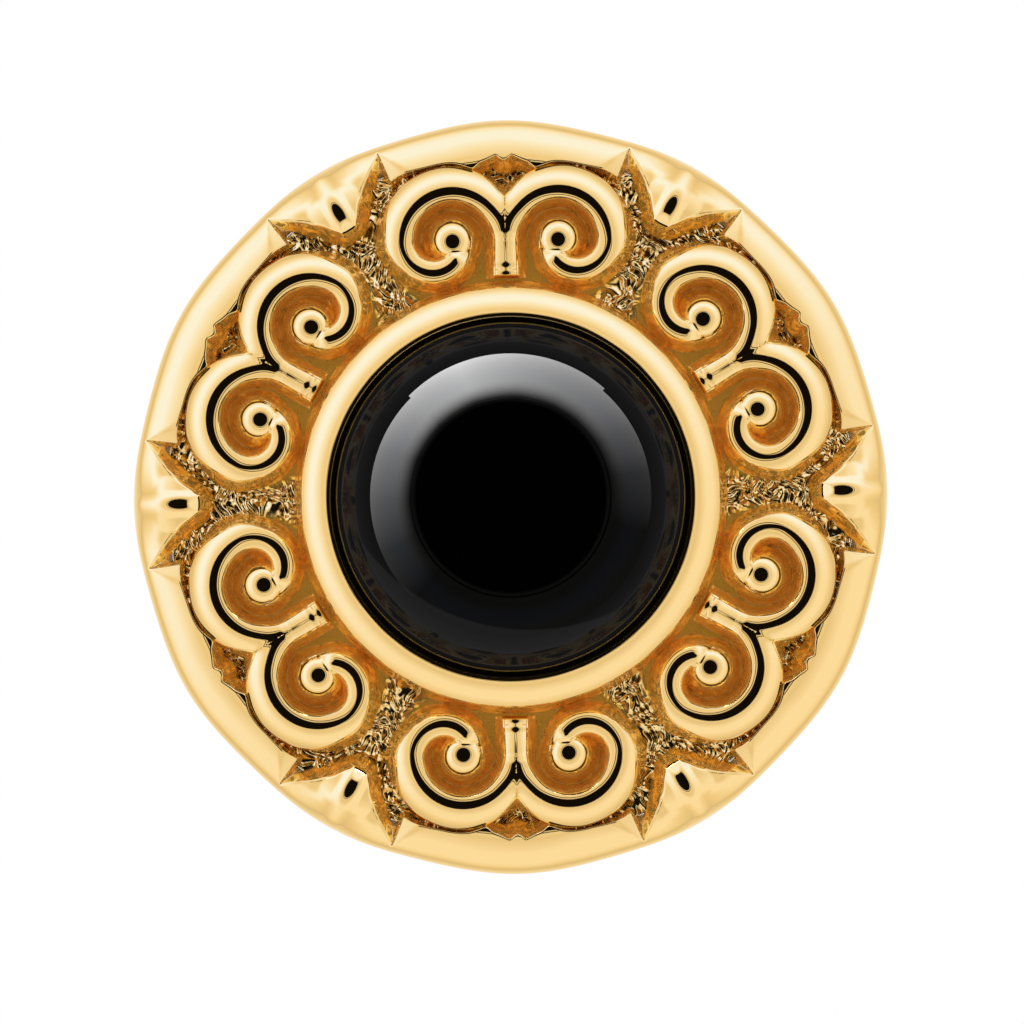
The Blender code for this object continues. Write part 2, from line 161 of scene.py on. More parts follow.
def fill_ramp(node, stops):
    """Sets a Color Ramp to stops of place and linear colour."""
    elements = node.color_ramp.elements
    while len(elements) < len(stops):
        elements.new(0.5)
    for element, (place, colour) in zip(elements, stops):
        element.position = place
        element.color = (*colour, 1)
    return node


print("mid gold in linear light:", [round(c, 3) for c in linear("#F7DA9C")])

# %% [markdown]
# ## Studio
#
# Jewellery is photographed inside a tent of white cloth with a hole for the lens. The hole is what draws the
# black line along every polished crest, and the wire hoop that holds the cloth open round it draws the thin
# line beside that. Modelled cloth and lamps could do this too, but a tent drawn as the world is the same from
# every point of the ring. Its colour depends on the height of a direction: a band of panels at the sides,
# which is bluer than the rest because it is lit by daylight lamps, fades upwards to plain cloth and downwards
# to the table. At the back the band is bright, and in front it is softer.

# %% Tent of light
LENS_HOLE = radians(37)
HOOP_BELOW = (0.065, 0.058, 0.040, 0.033, 0.012)
WHITE_PANEL = np.array([1.04, 1.36, 2.45])
CREAM_PANEL = np.array([1.04, 1.18, 1.60])
FRONT_PANEL = np.array([1.04, 1.08, 1.22])
CLOTH = np.array([0.94, 0.91, 0.84])
DIM_CLOTH = 0.8 * CLOTH
SHADE = np.array([0.10, 0.09, 0.08])
LENS_BLACK = 0.06 * SHADE
BACK_STOPS = [(0.0, DIM_CLOTH), (0.10, CLOTH), (0.20, CREAM_PANEL), (0.29, WHITE_PANEL), (0.40, WHITE_PANEL),
              (0.50, CREAM_PANEL), (0.63, CLOTH)]
FRONT_STOPS = [(0.0, DIM_CLOTH), (0.14, CLOTH), (0.27, FRONT_PANEL), (0.45, FRONT_PANEL), (0.63, 0.9 * CLOTH)]
PANEL_SIDE = (-0.35, 0.75, 0.0)
SIDE_BLEND = 0.5
rim_of_hole = cos(LENS_HOLE)
hoop_colours = (CLOTH, SHADE, SHADE, CLOTH, DIM_CLOTH)
hoop = [(rim_of_hole - below, colour) for below, colour in zip(HOOP_BELOW, hoop_colours)]
hoop.append((rim_of_hole, LENS_BLACK))
world = bpy.data.worlds.new("light_tent")
world.use_nodes = True
bpy.context.scene.world = world
tent = world.node_tree
tent.nodes.clear()
ray = add_node(tent, "ShaderNodeTexCoord").outputs["Generated"]
level = add_node(tent, "ShaderNodeSeparateXYZ", in_0=ray).outputs["Z"]
back_light = fill_ramp(add_node(tent, "ShaderNodeValToRGB", Fac=level), BACK_STOPS + hoop)
front_light = fill_ramp(add_node(tent, "ShaderNodeValToRGB", Fac=level), FRONT_STOPS + hoop)
towards_back = add_node(tent, "ShaderNodeVectorMath", {"operation": "DOT_PRODUCT"}, in_0=ray, in_1=PANEL_SIDE)
behind = add_node(tent, "ShaderNodeMapRange", {"interpolation_type": "SMOOTHSTEP"},
                  Value=towards_back.outputs["Value"], From_Min=-SIDE_BLEND, From_Max=SIDE_BLEND)
studio_light = add_node(tent, "ShaderNodeMix", {"data_type": "RGBA"}, in_0=behind.outputs["Result"],
                        in_6=front_light.outputs["Color"], in_7=back_light.outputs["Color"])
glow = add_node(tent, "ShaderNodeBackground", Color=studio_light.outputs["Result"], Strength=1.0)
add_node(tent, "ShaderNodeOutputWorld", Surface=glow.outputs["Background"])
print("tent: lens hole of", round(np.degrees(LENS_HOLE)), "degrees, panels", WHITE_PANEL, "and", FRONT_PANEL)

# %% [markdown]
# ## Ring lamp
#
# A ring of small lamps round the lens fills the recesses, which the tent's walls hardly reach. The photograph
# shows no lamps in the polished metal, where the lens hole stays dark. So one sun lamp from straight above
# stands in for the ring. It is kept out of mirror reflections, and only the matt skin scatters its light.

# %% Fill from the lens
FILL_LIGHT = 1.6
FILL_SPREAD = radians(10)
fill = bpy.data.lights.new("ring_lamp_round_the_lens", "SUN")
fill.energy = FILL_LIGHT
fill.angle = FILL_SPREAD
fill_lamp = bpy.data.objects.new(fill.name, fill)
fill_lamp.visible_glossy = False
bpy.context.scene.collection.objects.link(fill_lamp)
print("fill of", FILL_LIGHT, "watts per square metre from straight above")

# %% [markdown]
# ## Floor
#
# The floor is a white sheet of paper. Near the ring it is lit, and it keeps the ring's soft shadow. The
# camera sees the sheet as pale all over. Paper that only scatters light would look grey, so it also glows by
# itself.
# In reflections its glow is painted a little darker further off, as shade under the tent's hem, and the outer
# edge of the gold shows that.

# %% Pale floor under the ring
FLOOR_REACH = 900.0
PAINTED_SHADE_SPAN = (62.0, 100.0)
PAPER_NEAR = 0.97
PAINTED_SHADE_GLOW = 0.85
GLOW_SHARE = 0.97
floor_z = cad_box[0].z
corner = FLOOR_REACH * MM
floor_mesh = bpy.data.meshes.new("floor")
floor_mesh.from_pydata([(-corner, -corner, floor_z), (corner, -corner, floor_z), (corner, corner, floor_z),
                        (-corner, corner, floor_z)], [], [(0, 1, 2, 3)])
floor = bpy.data.objects.new("floor", floor_mesh)
bpy.context.scene.collection.objects.link(floor)
paper = bpy.data.materials.new("white_paper_sweep")
paper.use_nodes = True
tree = paper.node_tree
tree.nodes.clear()
place = add_node(tree, "ShaderNodeTexCoord").outputs["Object"]
distance = add_node(tree, "ShaderNodeVectorMath", {"operation": "LENGTH"}, in_0=place)
# Painted shade: the glow that reflections see dims further off, as under the tent's hem.
lit = add_node(tree, "ShaderNodeMapRange", {"interpolation_type": "SMOOTHSTEP"},
               Value=distance.outputs["Value"], From_Min=PAINTED_SHADE_SPAN[0] * MM, From_Max=PAINTED_SHADE_SPAN[1] * MM,
               To_Min=PAPER_NEAR, To_Max=PAINTED_SHADE_GLOW)
rays = add_node(tree, "ShaderNodeLightPath")
shown = add_node(tree, "ShaderNodeMix", {"data_type": "FLOAT"}, in_0=rays.outputs["Is Camera Ray"],
                 in_2=lit.outputs["Result"], in_3=1.0)
seen = add_node(tree, "ShaderNodeMath", {"operation": "MAXIMUM"}, in_0=rays.outputs["Is Camera Ray"],
                in_1=rays.outputs["Is Glossy Ray"])
seen = add_node(tree, "ShaderNodeMath", {"operation": "MAXIMUM"}, in_0=seen.outputs["Value"],
                in_1=rays.outputs["Is Transmission Ray"])
share = add_node(tree, "ShaderNodeMath", {"operation": "MULTIPLY"}, in_0=seen.outputs["Value"],
                 in_1=GLOW_SHARE)
matte = add_node(tree, "ShaderNodeBsdfDiffuse", Color=linear("#F4F2EE"))
white = add_node(tree, "ShaderNodeEmission", Color=(1, 1, 1, 1), Strength=shown.outputs["Result"])
both = add_node(tree, "ShaderNodeMixShader", in_0=share.outputs["Value"], in_1=matte.outputs["BSDF"],
                in_2=white.outputs["Emission"])
add_node(tree, "ShaderNodeOutputMaterial", Surface=both.outputs["Shader"])
floor_mesh.materials.append(paper)
print(f"floor at {floor_z / MM:.2f} mm")

# %% [markdown]
# ## Gold, polished
#
# The piece is cast and then polished on a felt wheel, so it is a mirror with very slight waves left by the
# hand. Deep corners keep the skin of the casting and the marks of the graver, because the wheel doesn't reach
# them. A matt skin scatters light, so it counts as less metallic. Down the walls the colour turns a deeper
# amber, which is painted: it stands for light bounced between the gold walls and for shade in the grooves.
# A pale line at the foot of each wall is a painted highlight, the glint at the bottom of a groove. Ambient
# occlusion could find the corners, but not the line. So the surfaces below carry a value called recess, which
# is 0 on the crests, grows down the walls and is 1 at their foot.

# %% Polished gold
WHEEL_WAVE = 1.6
WHEEL_HAZE = 0.35
HAZE_SPREAD = 0.12
MATT_SKIN = 0.6
TOOL_MARK = 0.4
TOOL_DEPTH = 0.12
PAINTED_DEEP_AMBER = "#F0B042"
PAINTED_RECESS_STOPS = (0.0, 0.55, 0.90, 0.97, 1.0)


def polished_gold(name, crest_colour, painted_recess_amber, crest_gloss, recess_gloss, wave):
    """Mirror-polished yellow gold with faint waves from the wheel, and satin recesses in painted amber shade.
    """
    material = bpy.data.materials.new(name)
    material.use_nodes = True
    tree = material.node_tree
    shader = tree.nodes["Principled BSDF"]
    place = add_node(tree, "ShaderNodeTexCoord").outputs["Object"]
    recess = add_node(tree, "ShaderNodeAttribute", {"attribute_name": "recess"}).outputs["Fac"]
    metallic = add_node(tree, "ShaderNodeMapRange", Value=recess, To_Min=1.0, To_Max=MATT_SKIN)
    tree.links.new(metallic.outputs["Result"], shader.inputs["Metallic"])
    # Painted light: amber down the walls for bounced light and shade, and a pale painted highlight at the
    # foot.
    shades = (crest_colour, painted_recess_amber, PAINTED_DEEP_AMBER, PAINTED_DEEP_AMBER, crest_colour)
    stops = [(share, linear(shade)[:3]) for share, shade in zip(PAINTED_RECESS_STOPS, shades)]
    colour = fill_ramp(add_node(tree, "ShaderNodeValToRGB", Fac=recess), stops)
    haze = add_node(tree, "ShaderNodeTexNoise", Vector=place, Scale=1 / (WHEEL_HAZE * MM), Detail=3.0)
    haze = add_node(tree, "ShaderNodeMapRange", Value=haze.outputs["Fac"], From_Min=0.3, From_Max=0.7,
                    To_Min=1 - HAZE_SPREAD, To_Max=1 + HAZE_SPREAD)
    gloss = add_node(tree, "ShaderNodeMapRange", Value=recess, To_Min=crest_gloss, To_Max=recess_gloss)
    gloss = add_node(tree, "ShaderNodeMath", {"operation": "MULTIPLY"}, in_0=gloss.outputs["Result"],
                     in_1=haze.outputs["Result"])
    ripple = add_node(tree, "ShaderNodeTexNoise", Vector=place, Scale=1 / (WHEEL_WAVE * MM), Detail=1.0)
    relief = add_node(tree, "ShaderNodeBump", Strength=1.0, Distance=wave * MM, Height=ripple.outputs["Fac"])
    marks = add_node(tree, "ShaderNodeTexNoise", Vector=place, Scale=1 / (TOOL_MARK * MM), Detail=1.0)
    marks = add_node(tree, "ShaderNodeMath", {"operation": "MULTIPLY"}, in_0=marks.outputs["Fac"],
                     in_1=recess)
    relief = add_node(tree, "ShaderNodeBump", Strength=1.0, Distance=TOOL_DEPTH * MM,
                      Height=marks.outputs["Value"], Normal=relief.outputs["Normal"])
    tree.links.new(colour.outputs["Color"], shader.inputs["Base Color"])
    tree.links.new(gloss.outputs["Value"], shader.inputs["Roughness"])
    tree.links.new(relief.outputs["Normal"], shader.inputs["Normal"])
    return material


gold = polished_gold("polished_yellow_gold", "#F8D38B", "#FFD670", crest_gloss=0.03, recess_gloss=0.18,
                     wave=0.016)
print("made", gold.name)

# %% [markdown]
# ## Gold, chased
#
# The ground is the same gold, struck all over with a fine punch, so it is duller than the polished parts. The
# strokes are modelled further down. The grain that the punch leaves is too fine for that, so it is a bump.

# %% Chased gold
CHASING_GRIT = 0.12
GRIT_DEPTH = 0.012


def chased_gold(name):
    """Gold textured with a fine punch: the same metal, with a fine grain in place of the wheel's waves."""
    material = polished_gold(name, "#F8D998", "#FFCA55", crest_gloss=0.14, recess_gloss=0.3, wave=0.0)
    tree = material.node_tree
    shader = tree.nodes["Principled BSDF"]
    place = add_node(tree, "ShaderNodeTexCoord").outputs["Object"]
    grit = add_node(tree, "ShaderNodeTexNoise", Vector=place, Scale=1 / (CHASING_GRIT * MM), Detail=2.0)
    relief = add_node(tree, "ShaderNodeBump", Strength=0.5, Distance=GRIT_DEPTH * MM,
                      Height=grit.outputs["Fac"])
    tree.links.new(relief.outputs["Normal"], shader.inputs["Normal"])
    return material


ground_gold = chased_gold("chased_yellow_gold")
print("made", ground_gold.name)

# %% [markdown]
# ## Black onyx
#
# Onyx is a banded stone that takes a glassy polish. It is opaque and black, so nearly all that shows is a
# reflection. The paler ring at the foot of the dome is a painted reflection, not a band in the stone, and
# it is wider on the near side. Two circles bound it. The stone's shine is far below that of plain onyx,
# because a filter on the lens takes most of it away, as told with the soft boxes.

# %% Black onyx
ONYX_IOR = 1.54
FILTERED_SHINE = 0.045
ONYX_GLOSS = (0.012, 0.03)
ONYX_CLOUD = 2.5
PAINTED_RING_STARTS = 0.895
PAINTED_CRESCENT_CENTRE = (0.12, 0.42)
PAINTED_CRESCENT_RADIUS = 1.185
PAINTED_RING_SOFT = 0.008
onyx = bpy.data.materials.new("polished_black_onyx")
onyx.use_nodes = True
tree = onyx.node_tree
shader = tree.nodes["Principled BSDF"]
shader.inputs["IOR"].default_value = ONYX_IOR
shader.inputs["Specular IOR Level"].default_value = FILTERED_SHINE
place = add_node(tree, "ShaderNodeTexCoord").outputs["Object"]
cloud_noise = add_node(tree, "ShaderNodeTexNoise", Vector=place, Scale=1 / (ONYX_CLOUD * MM), Detail=4.0)


def past_circle(centre, radius):
    """How far a point of the stone lies outside an upright cylinder, from 0 inside to 1 outside."""
    flat = add_node(tree, "ShaderNodeVectorMath", {"operation": "MULTIPLY"}, in_0=place, in_1=(1, 1, 0))
    off = add_node(tree, "ShaderNodeVectorMath", {"operation": "DISTANCE"}, in_0=flat.outputs["Vector"],
                   in_1=(centre[0] * STONE_RADIUS * MM, centre[1] * STONE_RADIUS * MM, 0))
    past = add_node(tree, "ShaderNodeMapRange", {"interpolation_type": "SMOOTHSTEP"},
                    Value=off.outputs["Value"], From_Min=(radius - PAINTED_RING_SOFT) * STONE_RADIUS * MM,
                    From_Max=(radius + PAINTED_RING_SOFT) * STONE_RADIUS * MM)
    return past.outputs["Result"]


# Painted reflection: a paler ring round the foot of the dome, wider on the near side.
painted_reflection_ring = add_node(tree, "ShaderNodeMath", {"operation": "MAXIMUM"}, in_0=past_circle((0, 0), PAINTED_RING_STARTS),
                   in_1=past_circle(PAINTED_CRESCENT_CENTRE, PAINTED_CRESCENT_RADIUS))
stone_colour = add_node(tree, "ShaderNodeMix", {"data_type": "RGBA"}, in_0=painted_reflection_ring.outputs["Value"],
                        in_6=linear("#010101"), in_7=linear("#151515"))
stone_gloss = add_node(tree, "ShaderNodeMapRange", Value=cloud_noise.outputs["Fac"], To_Min=ONYX_GLOSS[0],
                       To_Max=ONYX_GLOSS[1])
tree.links.new(stone_colour.outputs["Result"], shader.inputs["Base Color"])
tree.links.new(stone_gloss.outputs["Result"], shader.inputs["Roughness"])
print("made", onyx.name)


# %% [markdown]
# ## From a grid of points to a piece
#
# A surface is a grid: rows along one parameter, columns along the other. Joining each point to its neighbours
# gives the faces. Where a grid closes on itself, its last row is joined to its first. Blender's own tools
# could build such shapes too, but a formula puts every tilt where it is wanted.

# %% Mesh helpers
WELD = 1e-7
FALL_STEPS = 600


def grid_faces(rows, columns, round_rows=False, round_columns=False):
    """Quads of a grid of points, closed on itself along rows or columns where asked."""
    index = np.arange(rows * columns).reshape(rows, columns)
    if round_rows:
        index = np.concatenate([index, index[:1]])
    if round_columns:
        index = np.concatenate([index, index[:, :1]], axis=1)
    quads = [index[:-1, :-1], index[:-1, 1:], index[1:, 1:], index[1:, :-1]]
    return np.stack(quads, axis=-1).reshape(-1, 4)


def add_piece(name, points, faces, recess, material):
    """Makes a closed mesh from points in millimetres above the head's base, and seats it on the ring."""
    mesh = bpy.data.meshes.new(name)
    mesh.from_pydata(((points + [0, 0, HEAD_BASE]) * MM).tolist(), [], faces.tolist())
    carried = mesh.attributes.new("recess", "FLOAT", "POINT")
    carried.data.foreach_set("value", recess.astype(np.float32).ravel())
    shape = bmesh.new()
    shape.from_mesh(mesh)
    bmesh.ops.remove_doubles(shape, verts=shape.verts, dist=WELD)
    bmesh.ops.recalc_face_normals(shape, faces=shape.faces)
    shape.to_mesh(mesh)
    shape.free()
    mesh.shade_smooth()
    mesh.materials.append(material)
    piece = bpy.data.objects.new(name, mesh)
    bpy.context.scene.collection.objects.link(piece)
    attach(piece, "root")
    triangles = sum(len(face.vertices) - 2 for face in mesh.polygons)
    print(f"{name}: {len(mesh.vertices)} points, {triangles} triangles")
    return piece


def fall(distance, knots, tilts):
    """How far a surface has dropped at a distance from its crest.

    The drop is the running sum of the tangent of the tilt, and the tilt runs evenly between the knots.
    """
    fine = np.linspace(0, knots[-1], FALL_STEPS)
    slope = np.tan(np.radians(np.interp(fine, knots, tilts)))
    drop = np.concatenate([[0], np.cumsum((slope[1:] + slope[:-1]) / 2 * np.diff(fine))])
    return np.interp(distance, fine, drop)


def ease(value, start, end):
    """A smooth step from 0 at start to 1 at end: 3t^2 - 2t^3."""
    t = np.clip((value - start) / (end - start), 0, 1)
    return t * t * (3 - 2 * t)


def turned(profile_radius, profile_height, steps):
    """A closed profile turned about the ring's axis: radius r at turn t lies at (r sin t, r cos t)."""
    turn = np.linspace(0, 2 * pi, steps, endpoint=False)[:, None]
    points = np.stack([profile_radius * np.sin(turn), profile_radius * np.cos(turn),
                       np.broadcast_to(profile_height, (steps, len(profile_height)))], axis=-1)
    return points.reshape(-1, 3), grid_faces(steps, len(profile_height), True, True)


print("drop of a 45 degree slope over 1 mm:", round(float(fall(1.0, [0, 1], [45, 45])), 3))

# %% [markdown]
# ## The ground and the heights that stand on it
#
# The sheet behind the scrolls is very slightly domed. The bezel and the scrolls stand on it, so their heights
# are counted from it.


# %% Height of the ground
DOME_RADIUS = 120.0
RIM_STAND = 0.85
RIM_BORE = PLATE_RADIUS + SEAM
GROUND_EDGE = RIM_CREST - RIM_STAND


def ground_height(radius):
    """Height of the domed ground: a large sphere that passes through the rim's bore at the ground's edge."""
    return GROUND_EDGE + np.sqrt(DOME_RADIUS**2 - radius**2) - sqrt(DOME_RADIUS**2 - RIM_BORE**2)


print(f"ground {ground_height(BEZEL_RADIUS):.2f} mm at the bezel, bezel crest {BEZEL_CREST:.2f} mm")

# %% [markdown]
# ## The stone
#
# A cabochon is ground by hand on a wheel, flatter on top and rounder towards its edge, and stands on an
# upright girdle. A plain sphere would show the tent's rim at the wrong place, so the dome's tilt is given at
# the radii where the photograph shows a change: the edge of the lens hole, the table and the girdle.

# %% Onyx cabochon
DOME_KNOTS = np.array([0, 0.555, 0.81, 0.90, 1.0]) * STONE_RADIUS
DOME_TILTS = [0, 18.5, 45, 54, 64]
DOME_STEPS = 90
ROUND_STEPS = 256
BASE_BEVEL = 0.3
STONE_LIFT = 0.05
dome_radius = STONE_RADIUS * np.sin(np.linspace(0, pi / 2, DOME_STEPS))
dome_drop = fall(dome_radius, DOME_KNOTS, DOME_TILTS)
stone_edge = BEZEL_CREST + STONE_LIFT
dome_height = stone_edge + dome_drop[-1] - dome_drop
radius = np.concatenate([dome_radius, [STONE_RADIUS, STONE_RADIUS - BASE_BEVEL, 0]])
height = np.concatenate([dome_height, [STONE_BASE + BASE_BEVEL, STONE_BASE, STONE_BASE]])
points, faces = turned(radius, height, ROUND_STEPS)
stone = add_piece("black_cabochon", points, faces, np.zeros(len(points)), onyx)
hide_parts("onyx_cabochon")
print(f"dome {dome_drop[-1]:.2f} mm high")

# %% [markdown]
# ## Soft boxes for the stone
#
# A polarising filter on the lens takes most of the tent's reflection off the stone, but not off the metal.
# The photographer then lights the stone alone. Light linking does the same here: a curved screen, made of
# upright strip lamps that stand side by side, shines on the stone and on nothing else. It is brightest at the
# back left and fades towards both ends and upwards. One flat lamp couldn't bend round the stone like that.

# %% Strip lamps linked to the stone
SCREEN_DISTANCE = 200.0
SCREEN_TURNS = [-135, -112, -90, -68, -44, -20, 4, 26, 42, 60, 80, 105]
SCREEN_GLOW = [0, 4, 16, 34, 70, 96, 70, 47, 33, 16, 4, 0]
SCREEN_TOP = 235.0
SCREEN_FADE = 0.03
FADE_SPAN = (0.45, 0.97)
BACK_TURNS = (-44, 42)
BACK_FOOT = -12.0
stone_only = bpy.data.collections.new("lit_by_the_screen")
stone_only.objects.link(stone)


def strip_lamp(name, turns, glows, low):
    """An upright area lamp between two turns from straight behind, linked to the stone.

    Its light runs evenly from one glow to the other across, and fades upwards to a small share of that.
    """
    middle, half = (turns[0] + turns[1]) / 2, (turns[1] - turns[0]) / 2
    data = bpy.data.lights.new(name, "AREA")
    data.shape = "RECTANGLE"
    data.size, data.size_y = 2 * SCREEN_DISTANCE * sin(half) * MM, (SCREEN_TOP - low) * MM
    data.energy = pi * data.size * data.size_y
    data.use_nodes = True
    tree = data.node_tree
    across = add_node(tree, "ShaderNodeSeparateXYZ",
                      in_0=add_node(tree, "ShaderNodeNewGeometry").outputs["Parametric"])
    level = add_node(tree, "ShaderNodeMapRange", Value=across.outputs["X"], To_Min=glows[1], To_Max=glows[0])
    fade = add_node(tree, "ShaderNodeMapRange", {"interpolation_type": "SMOOTHSTEP"},
                    Value=across.outputs["Y"], From_Min=FADE_SPAN[0], From_Max=FADE_SPAN[1], To_Min=1.0,
                    To_Max=SCREEN_FADE)
    light = add_node(tree, "ShaderNodeMath", {"operation": "MULTIPLY"}, in_0=level.outputs["Result"],
                     in_1=fade.outputs["Result"])
    tree.links.new(light.outputs["Value"], tree.nodes["Emission"].inputs["Strength"])
    lamp = bpy.data.objects.new(name, data)
    away = SCREEN_DISTANCE * cos(half)
    height = HEAD_BASE + stone_edge + (low + SCREEN_TOP) / 2
    lamp.location = (away * sin(middle) * MM, away * cos(middle) * MM, height * MM)
    lamp.rotation_euler = (pi / 2, 0, pi - middle)
    lamp.light_linking.receiver_collection = stone_only
    lamp.visible_diffuse = False
    bpy.context.scene.collection.objects.link(lamp)


screen = np.radians(SCREEN_TURNS)
for k in range(len(screen) - 1):
    low = BACK_FOOT if BACK_TURNS[0] <= SCREEN_TURNS[k] < BACK_TURNS[1] else 0.0
    strip_lamp(f"screen_{k + 1}", screen[k:k + 2], SCREEN_GLOW[k:k + 2], low)
print(len(screen) - 1, "strips in the screen")

# %% [markdown]
# ## The bezel
#
# The collar is a strip bent round the stone and burnished against it. Outside it is a broad slope that falls
# from a narrow crest to a soft edge, and then an upright wall that flares out onto the ground. Inside is a
# steep bevel that shows the stone. A ring with a Bevel modifier would have every edge alike, so the whole
# profile is worked out and turned about the axis.

# %% Bezel collar
CREST_FROM_STONE = 0.335
INNER_LIP = 0.05
STONE_GAP = 0.03
BEVEL_TILT = radians(60)
BEVEL_FOOT = 0.9
BEZEL_KNOTS = [0, 0.06, 0.3, 0.6, 1.0]
BEZEL_TILTS = [0, 20, 27, 34, 43]
BEZEL_SINK = 0.05
EDGE_OUT = 0.03
EDGE_DOWN = 0.06
FLARE_BEND = 1.8
FLANK_STEPS = 40
WALL_STEPS = 14
LIP_STEPS = 10
BEVEL_STEPS = 6
BEZEL_TURNS = 360
# On a wall, recess is the share of the depth to this power, so it grows fast near the top.
RECESS_BEND = 0.3
crest_radius = STONE_RADIUS + CREST_FROM_STONE
flank = np.linspace(0, BEZEL_RADIUS - crest_radius, FLANK_STEPS)
flank_height = BEZEL_CREST - fall(flank, BEZEL_KNOTS, BEZEL_TILTS)
edge_height = flank_height[-1] - EDGE_DOWN
foot_height = float(ground_height(BEZEL_RADIUS + BEZEL_FLARE)) - BEZEL_SINK
wall = np.linspace(0, 1, WALL_STEPS)[1:]
wall_out = BEZEL_RADIUS + EDGE_OUT + (BEZEL_FLARE - EDGE_OUT) * wall**FLARE_BEND
wall_up = edge_height + (foot_height - edge_height) * wall
lip = np.linspace(0, INNER_LIP, LIP_STEPS)[1:]
lip_height = BEZEL_CREST - fall(lip, BEZEL_KNOTS, BEZEL_TILTS)
bore = STONE_RADIUS + STONE_GAP
bevel = np.linspace(0, crest_radius - INNER_LIP - bore, BEVEL_STEPS)[1:]
bevel_height = lip_height[-1] - np.tan(BEVEL_TILT) * bevel
radius = np.concatenate([crest_radius + flank, wall_out, [BEZEL_RADIUS, bore],
                         (crest_radius - INNER_LIP - bevel)[::-1], (crest_radius - lip)[::-1]])
height = np.concatenate([flank_height, wall_up, [BEZEL_BASE, BEZEL_BASE], bevel_height[::-1],
                         lip_height[::-1]])
points, faces = turned(radius, height, BEZEL_TURNS)
in_recess = np.concatenate([np.zeros(len(flank)), wall**RECESS_BEND, [1, 1, BEVEL_FOOT],
                            np.zeros(len(bevel) + len(lip) - 1)])
collar = add_piece("bezel_collar_polished", points, faces, np.tile(in_recess, BEZEL_TURNS), gold)
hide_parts("bezel_collar")

# %% [markdown]
# ## The scrolls
#
# Each pair is one casting: two ram's horns on a shared stem. The line of a horn is drawn with compasses from
# two centres, as a smith would set it out: the wide coil about the eye, then the hook about a second centre
# further out, which runs into a bead. Across the line, the section is a round ridge with flanks that steepen
# to an edge, and then a wall that flares out at its foot. A curve with a bevel would keep one section all
# along, so the section is carried round on rays from the centres instead, and changes as it goes.

# %% Plan of a scroll
SCROLL_PAIRS = 6
HALF_PITCH = pi / SCROLL_PAIRS
SCROLL_HEIGHT = 1.1
STEM_GAP = BEZEL_FLARE + SEAM
WAIST_GAP = 0.56
EYE_OFFSET = 1.04
SECOND_CENTRE = 0.37
COIL_OUTER_FOOT = 1.47
STEM_LENGTH = 0.764
COIL = (((BEZEL_RADIUS + STEM_GAP) * sin(HALF_PITCH) - WAIST_GAP / 2)
        / (EYE_OFFSET * cos(HALF_PITCH) + COIL_OUTER_FOOT - STEM_LENGTH * sin(HALF_PITCH)))
EYE_X = EYE_OFFSET * COIL
EYE_Y = BEZEL_RADIUS + STEM_GAP + STEM_LENGTH * COIL
HOOK_END = 284.0


def scroll_plan(turn):
    """Centre, ridge, edges and feet along the ray at each turn, in degrees clockwise from straight outwards.

    All are distances from the ray's centre in parts of the coil's ridge radius. Up to 90 degrees the centre
    is the eye and the ridge is a circle, which opens out at the V. After that it is the second centre, and
    the ridge closes in on the bead. Each ease runs between the turns where the photograph shows a change.
    """
    hook = turn > 90
    share = np.clip((turn - 90) / 175, 0, 1)
    centre = np.where(hook, EYE_X + SECOND_CENTRE * COIL, EYE_X)
    ridge = np.where(hook, 0.63 - 0.02 * share - 0.05 * ease(share, 0.5, 1), 1 + 0.03 * ease(-turn, 45, 75))
    inner_edge = np.where(hook, 0.79 - SECOND_CENTRE + 0.03 * share, 0.79 + 0.035 * ease(-turn, 55, 90))
    coil_width = 0.45 - 0.20 * ease(-turn, 8, 64) - 0.15 * ease(turn, 50, 90)
    hook_edge = 0.93 - 0.115 * ease(turn, 90, 140) - 0.07 * ease(turn, 190, 262)
    outer_edge = np.where(hook, hook_edge, ridge + coil_width)
    inner_foot = inner_edge - 0.18
    free = np.maximum(ease(-turn, 20, 55), ease(turn, 45, 90))
    outer_foot = outer_edge + 0.02 + 0.21 * free - 0.13 * ease(turn, 230, 270)
    return centre, [part * COIL for part in (ridge, inner_edge, inner_foot, outer_edge, outer_foot)]


look = scroll_plan(np.array([0.0, 90.0, 180.0, 260.0]))[1][0]
print(f"coil ridge radius {COIL:.3f} mm, eye {hypot(EYE_X, EYE_Y):.3f} mm out")
print("ridge at four turns:", look.round(3))

# %% Height of a scroll
RIDGE_KNOTS = [0, 0.068, 0.38, 0.65, 0.85, 1.2]
RIDGE_TILTS = [0, 18.5, 30, 38, 46, 50]
BEAD_KNOTS = [0, 0.24, 0.43, 0.615, 0.75]
BEAD_TILTS = [0, 18.5, 30, 45, 56]
BEAD_EDGE = 0.345 * COIL
BEAD_FOOT = 0.60 * COIL
V_HEIGHT = EYE_Y + 0.17 * COIL
STEM_KNOTS = [0, 0.1, 1.12, 1.21, 1.30, 1.42, 1.50, 1.58, 1.7]
STEM_TILTS = [0, 22, 24, 2, 25, 25, 2, 25, 25]
FOOT_SINK = 0.04
AXIS_SOFT = 0.09
STEM_FOOT = BEZEL_RADIUS + STEM_GAP
BEAD_BLEND = 0.06
WALL_FLARE = 1.15
TINY = 1e-6


def wall_rise(edge_level, beyond, width):
    """Height of a wall past its edge: it falls steeply at first and flares out a little at the foot."""
    return edge_level * np.clip(1 - beyond / np.maximum(width, TINY), 0, 1) ** WALL_FLARE


